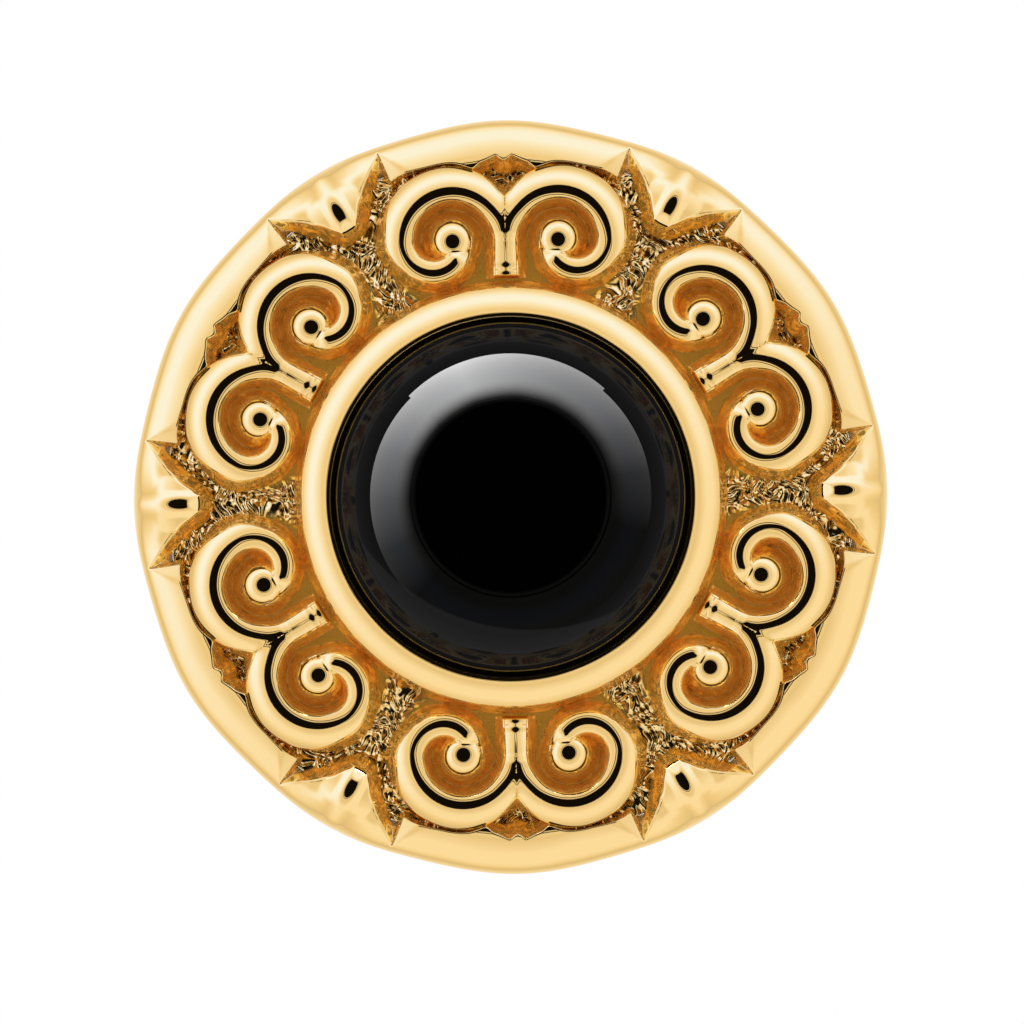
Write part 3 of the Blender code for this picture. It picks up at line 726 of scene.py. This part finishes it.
def section_rise(along, plan, crest):
    """Height above the ground of a scroll's section at a distance along its ray."""
    ridge, inner_edge, inner_foot, outer_edge, outer_foot = plan
    top, inner_level, outer_level = [crest - fall(np.abs(place - ridge), RIDGE_KNOTS, RIDGE_TILTS)
                                     for place in (along, inner_edge, outer_edge)]
    inside = wall_rise(inner_level, inner_edge - along, inner_edge - inner_foot)
    outside = wall_rise(outer_level, along - outer_edge, outer_foot - outer_edge)
    return np.where(along < inner_edge, inside, np.where(along > outer_edge, outside, top))


def bead_rise(x, y):
    """Height of the bead above the ground: a dome about the eye with a flared wall."""
    out = np.hypot(x - EYE_X, y - EYE_Y)
    level = SCROLL_HEIGHT - fall(BEAD_EDGE, BEAD_KNOTS, BEAD_TILTS)
    dome = SCROLL_HEIGHT - fall(out, BEAD_KNOTS, BEAD_TILTS)
    return np.where(out < BEAD_EDGE, dome, wall_rise(level, out - BEAD_EDGE, BEAD_FOOT - BEAD_EDGE))


def blended(a, b, reach):
    """The higher of two heights, with the corner between them filled over a small reach."""
    near = np.clip(1 - np.abs(a - b) / reach, 0, 1)
    return np.maximum(a, b) + reach / 4 * near**2


def stem_fall(y):
    """The stem's crest drops evenly from the V of the horns towards the bezel, with two steps at its end."""
    return fall(np.clip(V_HEIGHT - y, 0, STEM_KNOTS[-1]), STEM_KNOTS, STEM_TILTS)


print(f"V of the horns {V_HEIGHT:.2f} mm out, stem drops {float(stem_fall(np.array(STEM_FOOT))):.2f} mm")

# %% Points of a scroll pair
ACROSS_WALL = 7
ACROSS_TOP = 24
TURN_STEP = 2.0
STEM_STEPS = 30
STEM_END = 0.4
STEM_ROUND = 0.09
NO_LIMIT = 99.0
HOOK_JOINS = (200, 215)
BEAD_REACH = 1.6
BURIED = 0.03
BEAD_TURNS = 72
BEAD_TOP = 22
BEAD_WALL = 8


def across_steps(plan, limit):
    """Distances along each ray: up the outer wall, over the top with the ridge in it, down the inner wall."""
    ridge, inner_edge, inner_foot, outer_edge, outer_foot = [part[:, None] for part in plan]
    wall = np.linspace(0, 1, ACROSS_WALL)
    top = np.sin(np.linspace(0, pi / 2, ACROSS_TOP))
    steps = [outer_foot + (outer_edge - outer_foot) * wall,
             outer_edge + (ridge - outer_edge) * top[1:],
             ridge + (inner_edge - ridge) * (1 - top[::-1])[1:],
             inner_edge + (inner_foot - inner_edge) * wall[1:]]
    return np.minimum(np.concatenate(steps, axis=1), limit[:, None])


def axis_limit(turn):
    """Distance from the eye to the pair's axis along a ray that leans towards it."""
    lean = np.sin(np.radians(np.clip(-turn, 1, 90)))
    return np.where(turn < -1, EYE_X / lean, NO_LIMIT)


def coil_rise(x, y, turn, along):
    """Height of coil and hook.

    Near the axis, x is rounded off so that the two horns flow into each other. The hook sinks at its end.
    """
    near_axis = ease(-turn, 0, 40)
    soft_x = x + near_axis * (np.hypot(x, AXIS_SOFT) - x)
    side, out = soft_x - EYE_X, y - EYE_Y
    soft_turn = np.where(turn <= 0, np.degrees(np.arctan2(side, out)), turn)
    soft_along = np.where(turn <= 0, np.hypot(side, out), along)
    plan = scroll_plan(soft_turn)[1]
    plan[0] = np.minimum(plan[0], axis_limit(soft_turn))
    at_stem = ease(-soft_turn, 50, 72)
    sinking = 0.45 * ease(turn, 225, 272) + 1.3 * ease(turn, 262, 330)
    crest = SCROLL_HEIGHT - at_stem * stem_fall(y) - sinking
    return section_rise(soft_along, plan, crest)


def joined_rise(x, y):
    """Height of hook and bead where they run into each other: the higher of both, with the corner filled."""
    side, out = x - EYE_X - SECOND_CENTRE * COIL, y - EYE_Y
    turn = (np.degrees(np.arctan2(side, out)) - 90) % 360 + 90
    hook = coil_rise(x, y, turn, np.hypot(side, out))
    return blended(hook, bead_rise(x, y), BEAD_BLEND)


def stem_rise(x, y):
    """Height of the stem: the straight ray's section, falling towards the bezel and rounded at its end."""
    plan = scroll_plan(np.full_like(x, -90.0))[1]
    plan[0] = np.full_like(x, EYE_X)
    rise = section_rise(EYE_X - np.hypot(x, AXIS_SOFT), plan, SCROLL_HEIGHT - stem_fall(y))
    return np.clip(rise, 0, None) * (STEM_END + (1 - STEM_END) * ease(y - STEM_FOOT, 0, STEM_ROUND))


def half_scroll():
    """One horn with its share of the stem, as a grid of points: rows along the scroll, columns across it."""
    turn = np.arange(-90, HOOK_END + 0.1, TURN_STEP)
    centre, plan = scroll_plan(turn)
    limit = axis_limit(turn)
    plan[0] = np.minimum(plan[0], limit)
    along = across_steps(plan, limit)
    turn = np.broadcast_to(turn[:, None], along.shape)
    x = centre[:, None] + along * np.sin(np.radians(turn))
    y = EYE_Y + along * np.cos(np.radians(turn))
    stem_y = STEM_FOOT + (EYE_Y - STEM_FOOT) * np.linspace(0, 1, STEM_STEPS, endpoint=False)**1.3
    stem_x = np.broadcast_to(x[0], (STEM_STEPS, x.shape[1]))
    stem_y = np.broadcast_to(stem_y[:, None], stem_x.shape)
    rise = np.concatenate([stem_rise(stem_x, stem_y), coil_rise(x, y, turn, along)])
    x, y = np.concatenate([stem_x, x]), np.concatenate([stem_y, y])
    from_eye = np.hypot(x - EYE_X, y - EYE_Y) / BEAD_EDGE
    at_bead = np.concatenate([np.zeros(STEM_STEPS), ease(turn[:, 0], *HOOK_JOINS)])[:, None]
    buried = BURIED * (1 - ease(from_eye, 0.86, 1.0))
    rise = np.where((at_bead > 0) & (from_eye < BEAD_REACH) & (rise > 0), joined_rise(x, y) - buried, rise)
    x = np.where(np.abs(x) < TINY, 0, x)
    top = np.stack([x, y, ground_height(np.hypot(x, y)) + rise], axis=-1)
    foot_level = ground_height(np.hypot(x, y))[:, [-1, 0]] - FOOT_SINK
    foot = np.concatenate([top[:, [-1, 0], :2], foot_level[..., None]], axis=-1)
    rows = np.concatenate([top, foot], axis=1)
    caps = np.broadcast_to(rows.mean(axis=1, keepdims=True), rows.shape)
    steps = np.linspace(0, 1, ACROSS_WALL)[1:]**RECESS_BEND
    recess = np.concatenate([steps[::-1], np.zeros(2 * ACROSS_TOP - 1), steps, [1, 1]])
    return np.concatenate([caps[:1], rows, caps[-1:]]), recess


def bead():
    """The bead as a grid of points: rows round the eye, columns from the top down to the foot."""
    turn = np.linspace(0, 2 * pi, BEAD_TURNS, endpoint=False)[:, None]
    out = np.concatenate([BEAD_EDGE * np.sin(np.linspace(0, pi / 2, BEAD_TOP)),
                          np.linspace(BEAD_EDGE, BEAD_FOOT, BEAD_WALL)[1:], [BEAD_FOOT, 0]])
    x, y = EYE_X + out * np.sin(turn), EYE_Y + out * np.cos(turn)
    rise = np.where(out <= BEAD_EDGE, joined_rise(x, y), bead_rise(x, y))
    rise[:, -2:] = -FOOT_SINK
    recess = np.concatenate([np.zeros(BEAD_TOP), np.linspace(0, 1, BEAD_WALL)[1:]**RECESS_BEND, [1, 1]])
    return np.stack([x, y, ground_height(np.hypot(x, y)) + rise], axis=-1), recess


def pair_surface():
    """Both horns and both beads: one half and its mirror image, without the faces inside on the axis."""
    horn, horn_recess = half_scroll()
    ball, ball_recess = bead()
    horn_faces = grid_faces(*horn.shape[:2], False, True)
    ball_faces = grid_faces(*ball.shape[:2], True, True) + horn.shape[0] * horn.shape[1]
    half = np.concatenate([horn.reshape(-1, 3), ball.reshape(-1, 3)])
    half_faces = np.concatenate([horn_faces, ball_faces])
    half_faces = half_faces[(half[half_faces, 0] > TINY).any(axis=1)]
    half_recess = np.concatenate([np.tile(horn_recess, horn.shape[0]), np.tile(ball_recess, ball.shape[0])])
    points = np.concatenate([half, half * [-1, 1, 1]])
    faces = np.concatenate([half_faces, half_faces[:, ::-1] + len(half)])
    return points, faces, np.tile(half_recess, 2)


pair_points, pair_faces, pair_recess = pair_surface()
print(f"a pair: {len(pair_points)} points, {len(pair_faces)} faces")
print("its size in mm:", np.ptp(pair_points, axis=0).round(2))

# %% Six scroll pairs
for k in range(SCROLL_PAIRS):
    swing = -2 * HALF_PITCH * k
    turned_axes = np.array([[cos(swing), sin(swing), 0], [-sin(swing), cos(swing), 0], [0, 0, 1]])
    pair = add_piece(f"scroll_horns_{k + 1}", pair_points @ turned_axes, pair_faces, pair_recess, gold)
    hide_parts(f"scroll_pair_{k + 1}")

# %% [markdown]
# ## The chased ground
#
# Between the scrolls the sheet is worked with a chasing tool, stroke beside stroke, so that it glitters
# against the polished parts. Level spots show the dark lens hole and tilted ones show the tent. A bump could
# draw the strokes too, but modelled ones also hide each other at a slant. The relief is two trains of waves,
# bent by smooth noise until they curl. It is shallow: its slope matters, not its depth. The tool doesn't
# reach inside the coils, so the sheet stays smooth there and takes the recesses' painted amber shade.

# %% Chased relief
STROKE = 0.42
STROKE_DEPTH = 0.115
WANDER = 0.35
CHASED_FROM = (1.2, 1.5)
LATTICE = 197


def clouds(x, y, spacing, seed):
    """Smooth noise from -1 to 1: random values on a square lattice, eased from one to the next."""
    lattice = np.random.default_rng(seed).uniform(-1, 1, (LATTICE, LATTICE))
    column, row = np.floor(x / spacing).astype(int), np.floor(y / spacing).astype(int)
    a, b = ease(x / spacing - column, 0, 1), ease(y / spacing - row, 0, 1)
    left, right = column % LATTICE, (column + 1) % LATTICE
    low, high = row % LATTICE, (row + 1) % LATTICE
    near = lattice[low, left] * (1 - a) + lattice[low, right] * a
    far = lattice[high, left] * (1 - a) + lattice[high, right] * a
    return near * (1 - b) + far * b


def chasing(x, y):
    """Height of the chased relief: two trains of sine waves, shifted about by smooth noise."""
    along = x + WANDER * clouds(x, y, 1.2 * STROKE, 3)
    across = y + WANDER * clouds(x, y, 1.2 * STROKE, 5)
    waves = np.sin(2 * pi * along / STROKE) + np.sin(2 * pi * (0.6 * along + across) / (1.2 * STROKE))
    return STROKE_DEPTH * (0.5 * waves + 0.6 * clouds(x, y, 0.6 * STROKE, 7))


def outside_coils(radius, turn):
    """0 inside a coil and 1 well outside it, from the distance to the eye of the nearest coil."""
    from_pair = np.abs((turn + HALF_PITCH) % (2 * HALF_PITCH) - HALF_PITCH)
    from_eye = np.hypot(radius * np.sin(from_pair) - EYE_X, radius * np.cos(from_pair) - EYE_Y)
    return ease(from_eye / COIL, *CHASED_FROM)


print(f"strokes {STROKE} mm apart, from {CHASED_FROM[1] * COIL:.2f} mm off the eyes")

# %% Chased ground plate
GROUND_THICKNESS = 0.7
SMOOTH_RECESS = 0.92
GROUND_ROWS = 100
GROUND_TURNS = 980
radius = np.linspace(BEZEL_RADIUS + SEAM, PLATE_RADIUS, GROUND_ROWS)
turn = np.linspace(0, 2 * pi, GROUND_TURNS, endpoint=False)[:, None]
x, y = radius * np.sin(turn), radius * np.cos(turn)
chased = outside_coils(radius, turn)
top = np.stack([x, y, ground_height(radius) + chased * chasing(x, y)], axis=-1)
under_level = np.broadcast_to(ground_height(radius[[-1, 0]]) - GROUND_THICKNESS, (GROUND_TURNS, 2))
under = np.concatenate([top[:, [-1, 0], :2], under_level[..., None]], axis=-1)
points = np.concatenate([top, under], axis=1)
# Inside the coils the sheet counts as recess: matt, and in the painted amber shade of the recesses.
in_recess = np.concatenate([SMOOTH_RECESS * (1 - chased), np.ones((GROUND_TURNS, 2))], axis=1)
faces = grid_faces(GROUND_TURNS, GROUND_ROWS + 2, True, True)
plate = add_piece("chased_ground", points.reshape(-1, 3), faces, in_recess, ground_gold)
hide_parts("ground_plate")

# %% [markdown]
# ## The border
#
# The rim is a rounded band whose inner side is cut to the shape of the scrolls: a pocket over each pair, a
# scallop behind each coil, a notch and then a pointed tongue between the pairs. Boolean cuts could make it,
# but the long thin faces they leave would show in a mirror. So the inner edge is drawn first, as a line seen
# from above. From each of its points the wall runs down at right angles to the line, and the polished top
# runs out to the widest point of the ring.

# %% Inner edge of the border
SCALLOP = COIL_OUTER_FOOT * COIL + SEAM
SCALLOP_TURNS = (-17.8, 47.0)
POCKET_OUT = [0, 0.12, 0.21, 0.28, 0.63, 0.84, 1.07]
POCKET_DEPTH = [1.38, 1.34, 1.24, 1.20, 1.38, 1.46, 1.66]
TONGUE_TURN = [0, 1.1, 1.75, 3.75, 5.85, 8.45, 10.1]
TONGUE_DEPTH = [2.37, 2.36, 2.27, 1.67, 1.15, 0.66, 0.26]
POCKET_TURN = 5.3
LOBE_TURN = 18.2
MID_TONGUE = 180 / SCROLL_PAIRS
NOTCH_TURN = MID_TONGUE - TONGUE_TURN[-1]
SCALLOP_TUCK = 0.10
SCALLOP_OPENS = 0.30
POCKET_WALL = ([0, POCKET_OUT[-1]], [0.56, 0.34])
SCALLOP_WALL = ([-17.8, 0, 20, 47], [0.30, 0.05, 0.05, 0.20])
SIDE_WALL = 0.20
TONGUE_WALL = ([0, 3.75, 5.85, 8.45, 10.1], [0.42, 0.46, 0.46, 0.25, 0.0])
POCKET_ROUNDING = 0.03
LOBE_ROUNDING = 0.02
TONGUE_ROUNDING = ([2.2, 3.5], [0.02, 0.10])
POCKET_STEPS = 32
SCALLOP_STEPS = 40
SIDE_STEPS = 20
TONGUE_STEPS = 46
SMOOTHINGS = 3


def half_border():
    """Inner edge over half a pitch, with the turn of its outer end, wall width and rounding at each point.

    Pocket and tongue are drawn through a few depths below the face's radius, the scallop is an arc about the
    eye that opens towards its end, and the side of the notch is straight.
    """
    face = FACE_RADIUS
    out = np.linspace(0, POCKET_OUT[-1], POCKET_STEPS, endpoint=False)
    pocket = np.stack([out, face - np.interp(out, POCKET_OUT, POCKET_DEPTH)], axis=-1)
    turn = np.linspace(*SCALLOP_TURNS, SCALLOP_STEPS, endpoint=False)
    reach = SCALLOP - SCALLOP_TUCK * (1 - ease(turn, -18, 0)) + SCALLOP_OPENS * ease(turn, 15, 48)
    angle = np.radians(turn)
    scallop = np.stack([EYE_X + reach * np.sin(angle), EYE_Y + reach * np.cos(angle)], axis=-1)
    notch = np.array([sin(radians(NOTCH_TURN)), cos(radians(NOTCH_TURN))]) * (face - TONGUE_DEPTH[-1])
    step = np.linspace(0, 1, SIDE_STEPS, endpoint=False)
    side = scallop[-1] + (notch - scallop[-1]) * step[:, None]
    lean = np.linspace(TONGUE_TURN[-1], 0, TONGUE_STEPS)
    reach = face - np.interp(lean, TONGUE_TURN, TONGUE_DEPTH)
    angle = np.radians(MID_TONGUE - lean)
    tongue = reach[:, None] * np.stack([np.sin(angle), np.cos(angle)], axis=-1)
    edge = np.concatenate([pocket, scallop, side, tongue])
    ends = np.concatenate([POCKET_TURN * out / POCKET_OUT[-1],
                           POCKET_TURN + (LOBE_TURN - POCKET_TURN) * ease(turn, *SCALLOP_TURNS),
                           LOBE_TURN + (NOTCH_TURN - LOBE_TURN) * step, MID_TONGUE - lean])
    wall = np.concatenate([np.interp(out, *POCKET_WALL), np.interp(turn, *SCALLOP_WALL),
                           SIDE_WALL * (1 - step), np.interp(lean, *TONGUE_WALL)])
    rounding = np.concatenate([np.full(POCKET_STEPS, POCKET_ROUNDING),
                               np.full(SCALLOP_STEPS + SIDE_STEPS, LOBE_ROUNDING),
                               np.interp(lean, *TONGUE_ROUNDING)])
    return edge, np.radians(ends), wall, rounding


def whole_border():
    """The half pitch, its mirror image about the tongue and six turns of both, with rounded corners."""
    edge, ends, *widths = half_border()
    turn, reach = np.arctan2(edge[:, 0], edge[:, 1]), np.hypot(edge[:, 0], edge[:, 1])
    back = slice(-2, 0, -1)
    turn = np.concatenate([turn, 2 * HALF_PITCH - turn[back]])
    reach = np.concatenate([reach, reach[back]])
    ends = np.concatenate([ends, 2 * HALF_PITCH - ends[back]])
    pitch = 2 * HALF_PITCH * np.arange(SCROLL_PAIRS)[:, None]
    turn, ends = (turn + pitch).ravel(), (ends + pitch).ravel()
    reach = np.tile(reach, SCROLL_PAIRS)
    edge = np.stack([reach * np.sin(turn), reach * np.cos(turn)], axis=-1)
    for k in range(SMOOTHINGS):
        edge = (np.roll(edge, 1, axis=0) + 2 * edge + np.roll(edge, -1, axis=0)) / 4
    widths = [np.tile(np.concatenate([part, part[back]]), SCROLL_PAIRS)[:, None] for part in widths]
    return edge, ends, widths


edge, ends, (flare, rounding) = whole_border()
along_edge = np.roll(edge, -1, axis=0) - np.roll(edge, 1, axis=0)
inward = np.stack([along_edge[:, 1], -along_edge[:, 0]], axis=-1) / np.hypot(*along_edge.T)[:, None]
edge_reach = np.hypot(*edge.T)
print(f"inner edge: {len(edge)} points, from {edge_reach.min():.2f} to {edge_reach.max():.2f} mm")

# %% Outer rim
RIM_CREST_RADIUS = FACE_RADIUS - 1.80
RIM_KNOTS = [0, 0.35, 0.6, 1.1, 1.5, 1.66, 1.75, 1.80, 1.9]
RIM_TILTS = [0, 18.5, 25, 31, 37, 44, 62, 84, 84]
TONGUE_BAND = FACE_RADIUS - 1.17
TONGUE_RISE = radians(23)
RISE_WIDTH = 0.3
TONGUE_CREST = FACE_RADIUS - 1.59
TONGUE_TOP = RIM_CREST + 0.38
TONGUE_KNOTS = [0, 0.385, 0.8, 1.3, 1.45, 1.54, 1.59, 1.7]
TONGUE_TILTS = [0, 18.5, 34, 37, 44, 62, 84, 84]
BARREL_KNOTS = [0, 0.17, 0.30, 0.42, 0.50, 1.6]
BARREL_TILTS = [0, 18.5, 34, 36, 25, 27]
SHOULDER_KNOTS = [0, 0.17, 0.35, 1.6]
SHOULDER_TILTS = [0, 18.5, 26, 27]
BARREL_FADES = (FACE_RADIUS - 1.35, FACE_RADIUS - 0.75)
TIP_RADIUS = FACE_RADIUS - 1.92
TIP_LEVEL = RIM_CREST + 0.33
TIP_TILT = radians(33)
NOSE_BLEND = 0.01
ROOT_BLEND = 0.3
ROOT_RADII = (FACE_RADIUS - 1.2, FACE_RADIUS - 0.6)
EDGE_TILT = radians(40)
FOLD_TILT = radians(28)
FOLD_SPREAD = 0.68
FOLD_SOFT = 0.06
FOLD_SOFT_SHARE = 0.3
NOTCH_FILL = 0.92
NOTCH_FADES = (FACE_RADIUS - 1.05, FACE_RADIUS - 0.45)
WALL_LEAN = 1.5
BASE_INSET = 0.45
RIM_WALL_STEPS = 9
RIM_TOP_STEPS = 41
RIM_SIDE_STEPS = 10
ends_from_pair = np.abs((ends + HALF_PITCH) % (2 * HALF_PITCH) - HALF_PITCH)[:, None]
swell = LOBE_SWELL * np.cos(2 * SCROLL_PAIRS * ends)[:, None]
silhouette = (FACE_RADIUS + swell) * np.stack([np.sin(ends), np.cos(ends)], axis=-1)


def rim_top(x, y):
    """Height of the rim's top.

    The band falls outwards from a round crest. On a tongue it rises a little further inwards, and a ridge
    along the tongue's axis stands on it. The ridge is a narrow barrel near the tip and a plain shoulder
    further out, and a facet is cut at the tip. Each lobe is folded down beside the notch, more the further
    in. The inner edge is rounded over a little.
    """
    radius = np.hypot(x, y)
    turn = np.arctan2(x, y)
    turn = np.abs((turn + HALF_PITCH) % (2 * HALF_PITCH) - HALF_PITCH)
    on_tongue = ends_from_pair >= radians(NOTCH_TURN)
    band_radius = np.where(on_tongue, np.maximum(radius, TONGUE_BAND), radius)
    band = RIM_CREST - fall(np.clip(band_radius - swell - RIM_CREST_RADIUS, 0, None), RIM_KNOTS, RIM_TILTS)
    inner_band = band + np.tan(TONGUE_RISE) * np.clip(TONGUE_BAND - radius, 0, RISE_WIDTH)
    across = radius * np.sin(HALF_PITCH - turn)
    barrel = fall(across, BARREL_KNOTS, BARREL_TILTS)
    shoulder = fall(across, SHOULDER_KNOTS, SHOULDER_TILTS)
    flank_drop = barrel + (shoulder - barrel) * ease(radius, *BARREL_FADES)
    ridge = TONGUE_TOP - fall(np.abs(radius - TONGUE_CREST), TONGUE_KNOTS, TONGUE_TILTS) - flank_drop
    tip = TIP_LEVEL + np.tan(TIP_TILT) * (radius - TIP_RADIUS)
    reach = NOSE_BLEND + (ROOT_BLEND - NOSE_BLEND) * ease(radius, *ROOT_RADII)
    tongue = -blended(-blended(ridge, inner_band, reach), -tip, NOSE_BLEND)
    fold_width = FOLD_SPREAD * np.clip(FACE_RADIUS - TONGUE_DEPTH[-1] - radius, 0, None)
    folded = fold_width - radius * np.sin(radians(NOTCH_TURN) - turn)
    soft = np.minimum(FOLD_SOFT, FOLD_SOFT_SHARE * fold_width)
    fold = np.tan(FOLD_TILT) * (folded + np.hypot(folded, soft)) / 2
    from_edge = -((x - edge[:, :1]) * inward[:, :1] + (y - edge[:, 1:]) * inward[:, 1:])
    edge_drop = np.tan(EDGE_TILT) * rounding / 2 * np.clip(1 - from_edge / rounding, 0, 1)**2
    return np.where(on_tongue, tongue, band - fold) - edge_drop


edge_level = rim_top(edge[:, :1], edge[:, 1:])
floor_place = edge + inward * flare
floor_radius = np.hypot(*floor_place.T)[:, None]
floor_level = ground_height(np.minimum(floor_radius, RIM_BORE)) - FOOT_SINK
notch_fill = NOTCH_FILL * ease(edge_reach, *NOTCH_FADES)[:, None]
floor_level = floor_level + notch_fill * (edge_level - floor_level)
up = np.linspace(0, 1, RIM_WALL_STEPS)
lean = (1 - (1 - up)**WALL_LEAN)[None, :, None]
wall_place = floor_place[:, None] + (edge - floor_place)[:, None] * lean
wall_level = floor_level + (edge_level - floor_level) * up
out = np.linspace(0, 1, RIM_TOP_STEPS)[1:]
out = (0.5 * out + 0.25 * np.sin(pi / 2 * out) + 0.25 * out**2)[None, :, None]
top_place = edge[:, None] + (silhouette - edge)[:, None] * out
top_level = rim_top(top_place[..., 0], top_place[..., 1])
down = np.linspace(0, pi / 2, RIM_SIDE_STEPS)[1:]
side_place = silhouette[:, None] * (1 - BASE_INSET * (1 - np.cos(down)) / FACE_RADIUS)[None, :, None]
side_level = top_level[:, -1:] * (1 - np.sin(down))
base_turn = np.stack([np.sin(ends), np.cos(ends)], axis=-1)[:, None]
inside_place = np.broadcast_to(RIM_BORE * base_turn, (len(ends), 2, 2))
inside_level = np.broadcast_to([0, GROUND_EDGE - FOOT_SINK], (len(ends), 2))
place_xy = np.concatenate([inside_place, wall_place, top_place, side_place], axis=1)
height = np.concatenate([inside_level, wall_level, top_level, side_level], axis=1)
points = np.concatenate([place_xy, height[..., None]], axis=-1)
in_recess = np.concatenate([[1, 1], (1 - up)**RECESS_BEND, np.zeros(RIM_TOP_STEPS + RIM_SIDE_STEPS - 2)])
faces = grid_faces(*height.shape, True, True)
rim = add_piece("rounded_border", points.reshape(-1, 3), faces, np.tile(in_recess, len(ends)), gold)
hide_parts("outer_rim")

# %% [markdown]
# ## Back plate and band
#
# Out of the photograph's sight, a disc closes the back of the head, and a band of plain wire, forged wider
# and flat at the top, carries it. Both are polished. A torus would give a band of one width, so this one is a
# section carried round the finger: rounded outside, nearly straight inside, with its width and thickness
# growing towards the shoulders.

# %% Back plate
EDGE_ROUND = 0.22
TOP_ROUND = 0.08
BEND_STEPS = 8
bend = np.linspace(0, pi / 2, BEND_STEPS)
radius = np.concatenate([[0], PLATE_RADIUS - TOP_ROUND * (1 - np.sin(bend)),
                         PLATE_RADIUS - EDGE_ROUND * (1 - np.cos(bend)), [0]])
height = np.concatenate([[BACK_THICKNESS], BACK_THICKNESS - TOP_ROUND * (1 - np.cos(bend)),
                         EDGE_ROUND * (1 - np.sin(bend)), [0]])
points, faces = turned(radius, height, ROUND_STEPS)
back = add_piece("closed_back", points, faces, np.zeros(len(points)), gold)
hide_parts("back_plate")

# %% Shank
FINGER_BORE = 17.3
SHANK_THICKNESS = 1.8
SHANK_WIDTH = 4.0
SHOULDER_WIDTH = 11.0
TABLE_THICKNESS = 1.45
TABLE_LENGTH = 16.4
SQUARENESS = 0.45
CROWN_STARTS = 0.25
CROWN_DROP = 0.38
COMFORT_ROUND = 0.10
SHANK_TURNS = 360
SHANK_AROUND = 64

bore = FINGER_BORE / 2
table = bore + TABLE_THICKNESS
table_turn = atan2(TABLE_LENGTH / 2, table)
edge_radius = table / cos(table_turn)
turn = np.linspace(-pi, pi, SHANK_TURNS, endpoint=False)
turn = np.sort(np.concatenate([turn, [-table_turn, table_turn]]))
away = np.clip((np.abs(turn) - table_turn) / (pi - table_turn), 0, 1)
on_table = np.abs(turn) <= table_turn + 1e-9
outer = bore + SHANK_THICKNESS + (edge_radius - bore - SHANK_THICKNESS) * (1 - away)**3
outer = np.where(on_table, table / np.cos(np.where(on_table, turn, 0)), outer)[:, None]
half_width = (SHANK_WIDTH / 2 + (SHOULDER_WIDTH - SHANK_WIDTH) / 2 * (1 - away)**2)[:, None]
crown = np.clip(away / CROWN_STARTS, 0, 1)[:, None]
around = np.linspace(0, 2 * pi, SHANK_AROUND, endpoint=False)
side = np.sign(np.cos(around)) * np.abs(np.cos(around))**SQUARENESS
rise = np.sign(np.sin(around)) * np.abs(np.sin(around))**SQUARENESS
thick = outer - bore
belly = np.where(rise > 0, rise, 0)
middle = bore + thick * 0.5 + thick * 0.5 * rise
radius = middle - crown * CROWN_DROP * thick * side**2 * belly
comfort = COMFORT_ROUND * side**4 * (rise < 0)
radius = radius + comfort * np.abs(rise)
points = np.stack([radius * np.sin(turn)[:, None], half_width * side,
                   radius * np.cos(turn)[:, None] - HEAD_BASE], axis=-1)
faces = grid_faces(len(turn), SHANK_AROUND, True, True)
band = add_piece("finger_band", points.reshape(-1, 3), faces, np.zeros(points.shape[:2]), gold)
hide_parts("shank")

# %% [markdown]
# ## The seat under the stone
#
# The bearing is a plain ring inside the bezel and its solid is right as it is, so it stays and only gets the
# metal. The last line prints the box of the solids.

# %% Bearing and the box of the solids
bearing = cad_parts["bezel_bearing"]
bearing.data.materials.clear()
bearing.data.materials.append(gold)
print("solid box", [round(v / MM, 2) for corner in cad_box for v in corner])
